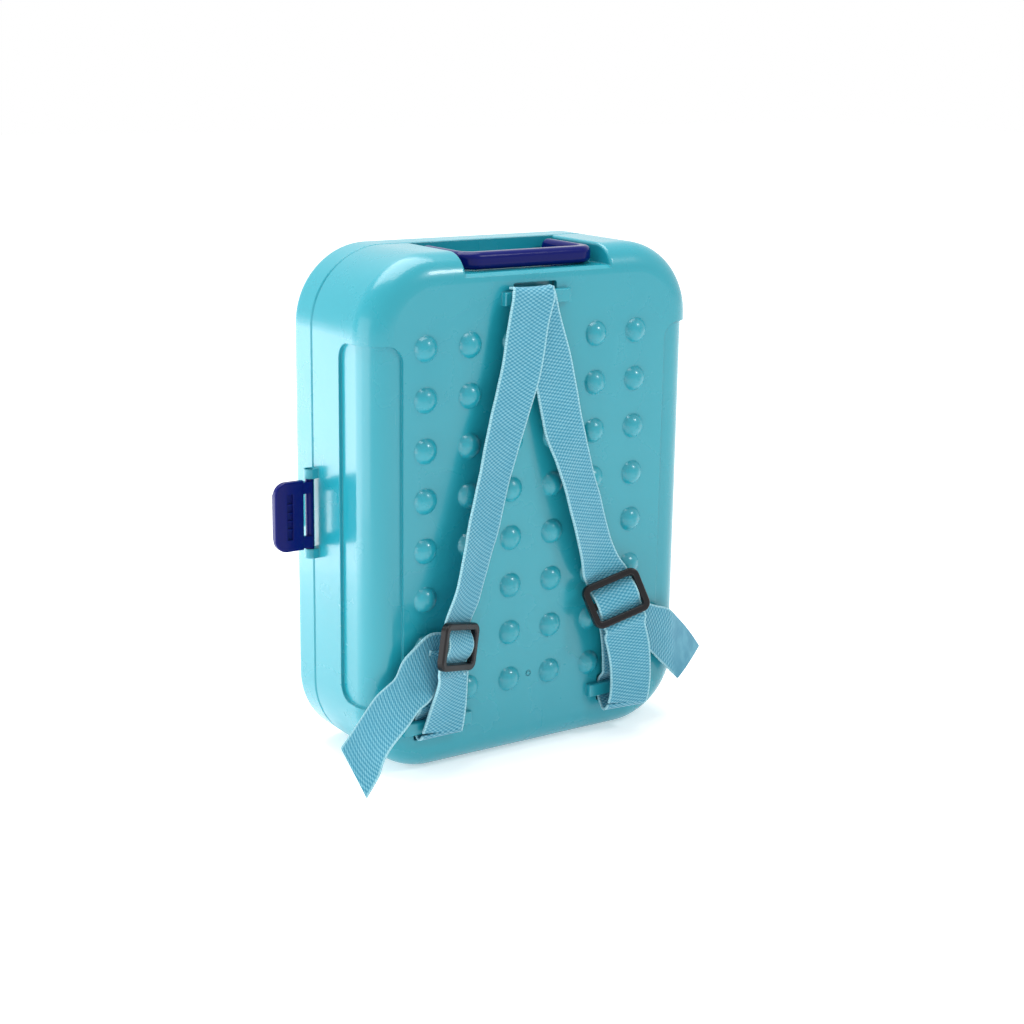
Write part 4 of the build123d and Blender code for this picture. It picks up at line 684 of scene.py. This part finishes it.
# Upper runs, from the top bar to the buckles, as (x, rise, z, twist)
LEFT_UPPER = (
    (-8.2, 1.6, 252.5, 0),
    (-8.3, 4.8, 252.0, 0),
    (-8.8, 6.7, 249.8, 0),
    (-10.4, 8.0, 245.5, 0),
    (-13.1, 8.6, 235.2, 0),
    (-16.9, 8.6, 213.1, 1),
    (-20.7, 8.4, 199.0, 3),
    (-23.4, 8.4, 190.0, 5.6),
    (-27.1, 8.6, 178.0, 9.8),
    (-31.0, 8.8, 165.0, 13.7),
    (-35.1, 9.2, 150.0, 16.1),
    (-39.0, 9.6, 135.0, 16.7),
    (-43.3, 10.0, 120.0, 20.6),
    (-47.2, 10.4, 106.0, 23.5),
    (-50.4, 10.8, 96.0, 24.8),
)
RIGHT_UPPER = (
    (-8.0, 5.8, 249.0, 0),
    (-6.0, 5.9, 243.0, 0),
    (-3.0, 6.0, 232.0, 0),
    (2.2, 6.2, 216.0, 0),
    (6.8, 6.2, 199.0, 0),
    (9.0, 6.2, 190.0, 0.5),
    (11.9, 6.3, 178.0, 2),
    (16.4, 6.8, 165.0, 9),
    (21.3, 7.4, 150.0, 14),
    (26.1, 7.6, 135.0, 14.4),
    (30.7, 7.4, 120.0, 14.2),
    (34.7, 7.0, 108.0, 10.4),
    (38.0, 6.8, 99.0, 1),
)


def upper_run(side, stations, buckle):
    left_edge, right_edge = edges_of(stations)
    frame_left, frame_right = frame_edges(buckle, THROUGH)
    piece = ribbon(
        side + "_upper_webbing", left_edge + frame_left, right_edge + frame_right, CLOTH, bow=0.5
    )
    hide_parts("strap_" + side + "_upper")
    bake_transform(piece)


upper_run("left", LEFT_UPPER, LEFT_FRAME)
upper_run("right", RIGHT_UPPER, RIGHT_FRAME)

# Lower runs, from behind the buckles down over the front of the low bars
LEFT_LOWER = (
    (-59.6, 12.4, 55.5, 23),
    (-59.9, 10.4, 46.0, 15),
    (-60.5, 8.4, 36.0, 7),
    (-61.2, 6.8, 28.0, 2),
    (-61.9, 5.8, 23.4, 0),
)
RIGHT_LOWER = (
    (48.2, 16.2, 64.0, -12),
    (50.5, 15.8, 57.0, -12),
    (52.7, 15.4, 49.0, -11),
    (54.4, 14.4, 41.0, -9),
    (55.3, 13.6, 33.0, -8),
    (55.2, 13.0, 25.0, -8),
    (54.9, 11.6, 19.6, -8),
)


def lower_run(side, stations, buckle):
    left_edge, right_edge = edges_of(stations)
    frame_left, frame_right = frame_edges(buckle, BELOW_FRAME)
    piece = ribbon(
        side + "_lower_webbing", frame_left + left_edge, frame_right + right_edge, CLOTH, bow=0.4
    )
    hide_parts("strap_" + side + "_lower")
    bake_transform(piece)


lower_run("left", LEFT_LOWER, LEFT_FRAME)
lower_run("right", RIGHT_LOWER, RIGHT_FRAME)


# Loops round the low bars and round the top bar
def loop(place, stations):
    left_edge, right_edge = edges_of(stations, level=True)
    piece = ribbon(place + "_loop_webbing", left_edge, right_edge, CLOTH, ripple=0.05)
    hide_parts("strap_" + place + "_loop")
    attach(piece, "root")


loop(
    "left",
    (
        (-61.9, 5.8, 23.6, 0),
        (-62.1, 4.4, 21.4, 0),
        (-62.4, 1.6, 20.8, 0),
        (-62.5, -0.4, 23.4, 0),
        (-62.5, -0.9, 27.0, 0),
        (-62.5, 0.2, 32.4, 0),
        (-62.7, 3.2, 35.4, 0),
        (-62.8, 4.9, 38.0, 0),
    ),
)
loop(
    "right",
    (
        (54.9, 11.6, 19.8, -8),
        (54.8, 9.6, 17.0, -7),
        (55.0, 6.0, 16.0, -4),
        (55.3, 2.2, 18.8, 0),
        (55.5, -0.4, 22.4, 0),
        (55.5, -0.9, 27.0, 0),
        (55.5, 0.2, 32.4, 0),
        (55.3, 3.2, 35.4, 0),
        (54.9, 4.9, 38.0, 0),
    ),
)
loop(
    "top",
    (
        (-8.4, 4.4, 242.6, 0),
        (-8.3, 4.7, 246.0, 0),
        (-8.2, 4.6, 249.4, 0),
        (-7.6, 3.6, 250.9, 0),
        (-6.0, 2.2, 251.4, 0),
        (-4.4, 0.3, 250.7, 0),
        (-3.9, -0.7, 247.0, 0),
        (-3.9, -0.6, 243.6, 0),
        (-5.0, 1.6, 241.6, 0),
        (-7.0, 3.6, 241.6, 0),
    ),
)

# Return runs behind the front runs
LEFT_RETURN = (
    (-62.8, 4.9, 37.6, 0),
    (-62.8, 5.2, 44.0, 0),
    (-62.0, 5.4, 52.0, 2),
    (-60.4, 5.6, 60.0, 4),
    (-58.8, 6.0, 68.0, 8),
)
RIGHT_RETURN = (
    (54.9, 4.9, 37.6, 0),
    (54.2, 5.2, 46.0, 0),
    (53.2, 5.4, 56.0, 0),
    (51.4, 5.6, 66.0, -2),
    (49.0, 6.0, 76.0, -4),
)


def return_run(side, stations):
    left_edge, right_edge = edges_of(stations)
    piece = ribbon(side + "_return_webbing", left_edge, right_edge, CLOTH, bow=0.2)
    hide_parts("strap_" + side + "_return")
    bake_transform(piece)


return_run("left", LEFT_RETURN)
return_run("right", RIGHT_RETURN)

# Loose tails, as (upper edge, lower edge) points
LEFT_TAIL = (
    ((-57.0, -45.6, 76.4), (-62.0, -46.4, 52.2)),
    ((-62.0, -46.0, 78.0), (-64.8, -47.6, 53.0)),
    ((-71.0, -47.0, 78.6), (-67.4, -49.4, 51.4)),
    ((-79.4, -46.6, 72.8), (-71.0, -51.6, 47.2)),
    ((-86.0, -45.6, 66.4), (-75.8, -53.6, 44.2)),
    ((-90.0, -45.0, 58.2), (-82.4, -56.0, 42.0)),
    ((-95.4, -44.8, 54.2), (-87.0, -57.6, 38.4)),
    ((-101.4, -44.2, 49.6), (-91.4, -58.8, 35.0)),
    ((-110.0, -43.4, 38.8), (-100.2, -59.4, 27.2)),
    ((-117.0, -43.4, 30.4), (-104.6, -59.2, 20.4)),
    ((-120.0, -43.4, 27.2), (-107.6, -58.8, 12.4)),
    ((-121.0, -43.6, 26.0), (-114.4, -58.2, 2.4)),
)
RIGHT_TAIL = (
    ((62.8, -44.6, 74.0), (60.8, -44.6, 49.4)),
    ((70.0, -44.8, 73.0), (66.0, -45.0, 49.0)),
    ((78.4, -45.6, 70.2), (71.0, -45.6, 46.8)),
    ((86.0, -46.0, 67.6), (75.4, -46.2, 43.2)),
    ((92.2, -45.8, 62.0), (80.0, -46.6, 38.4)),
    ((98.6, -45.4, 55.8), (86.0, -46.8, 32.6)),
    ((105.0, -45.2, 48.4), (90.0, -47.4, 28.6)),
    ((110.6, -45.2, 41.0), (93.0, -47.8, 25.4)),
)


def tail(side, pairs, material):
    left_edge = [Vector(upper) for upper, _ in pairs]
    right_edge = [Vector(lower) for _, lower in pairs]
    piece = ribbon(side + "_tail_webbing", left_edge, right_edge, material, bow=0.6, ripple=0.25)
    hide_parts("strap_" + side + "_tail")
    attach(piece, side + "_slider")


tail("left", LEFT_TAIL, CLOTH)
tail("right", RIGHT_TAIL, CLOTH_SEALED)


# Rungs across the groove in the latch
RUNG_SIZE = Vector((3.4, 1.3, 1.1))
RUNG_EDGE = 0.3
RUNG_X = -119.4
RUNG_Y = 11.6
RUNG_HEIGHTS = (127.4, 131.8, 136.2, 140.6)


def round_edges(form, width, segments):
    bmesh.ops.bevel(
        form,
        geom=form.edges[:],
        offset=width * MM,
        segments=segments,
        profile=0.5,
        affect="EDGES",
        material=-1,
    )


def latch_rungs():
    form = bmesh.new()
    for z in RUNG_HEIGHTS:
        rung = bmesh.ops.create_cube(form, size=1.0)["verts"]
        bmesh.ops.scale(form, vec=RUNG_SIZE * MM, verts=rung)
        bmesh.ops.translate(form, vec=Vector((RUNG_X, RUNG_Y, z)) * MM, verts=rung)
    round_edges(form, RUNG_EDGE, 3)
    for face in form.faces:
        face.smooth = True
    piece = new_piece("latch_rungs", form, NAVY)
    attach(piece, "latch")


latch_rungs()

# Pockets behind the webbing bars
POCKET_SIZE = Vector((29.6, 3.0, 17.8))
POCKET_RIM = 1.2
POCKET_DEPTH = 1.8
POCKET_EDGE = 0.25
POCKET_Y = -36.1


def pocket(name, x, z):
    """A shallow pan on the inside of the back panel that closes a webbing slot."""
    form = bmesh.new()
    bmesh.ops.create_cube(form, size=1.0)
    bmesh.ops.scale(form, vec=POCKET_SIZE * MM, verts=form.verts)
    mouth = [face for face in form.faces if face.normal.y < -0.5]
    bmesh.ops.inset_individual(form, faces=mouth, thickness=POCKET_RIM * MM)
    bmesh.ops.translate(form, vec=(0, POCKET_DEPTH * MM, 0), verts=mouth[0].verts[:])
    round_edges(form, POCKET_EDGE, 2)
    bmesh.ops.translate(form, vec=Vector((x, POCKET_Y, z)) * MM, verts=form.verts)
    piece = new_piece(name, form, CASE)
    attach(piece, "root")


pocket("top_slot_pocket", -3.5, 247.0)
pocket("left_slot_pocket", -62.5, 27.0)
pocket("right_slot_pocket", 55.5, 27.0)
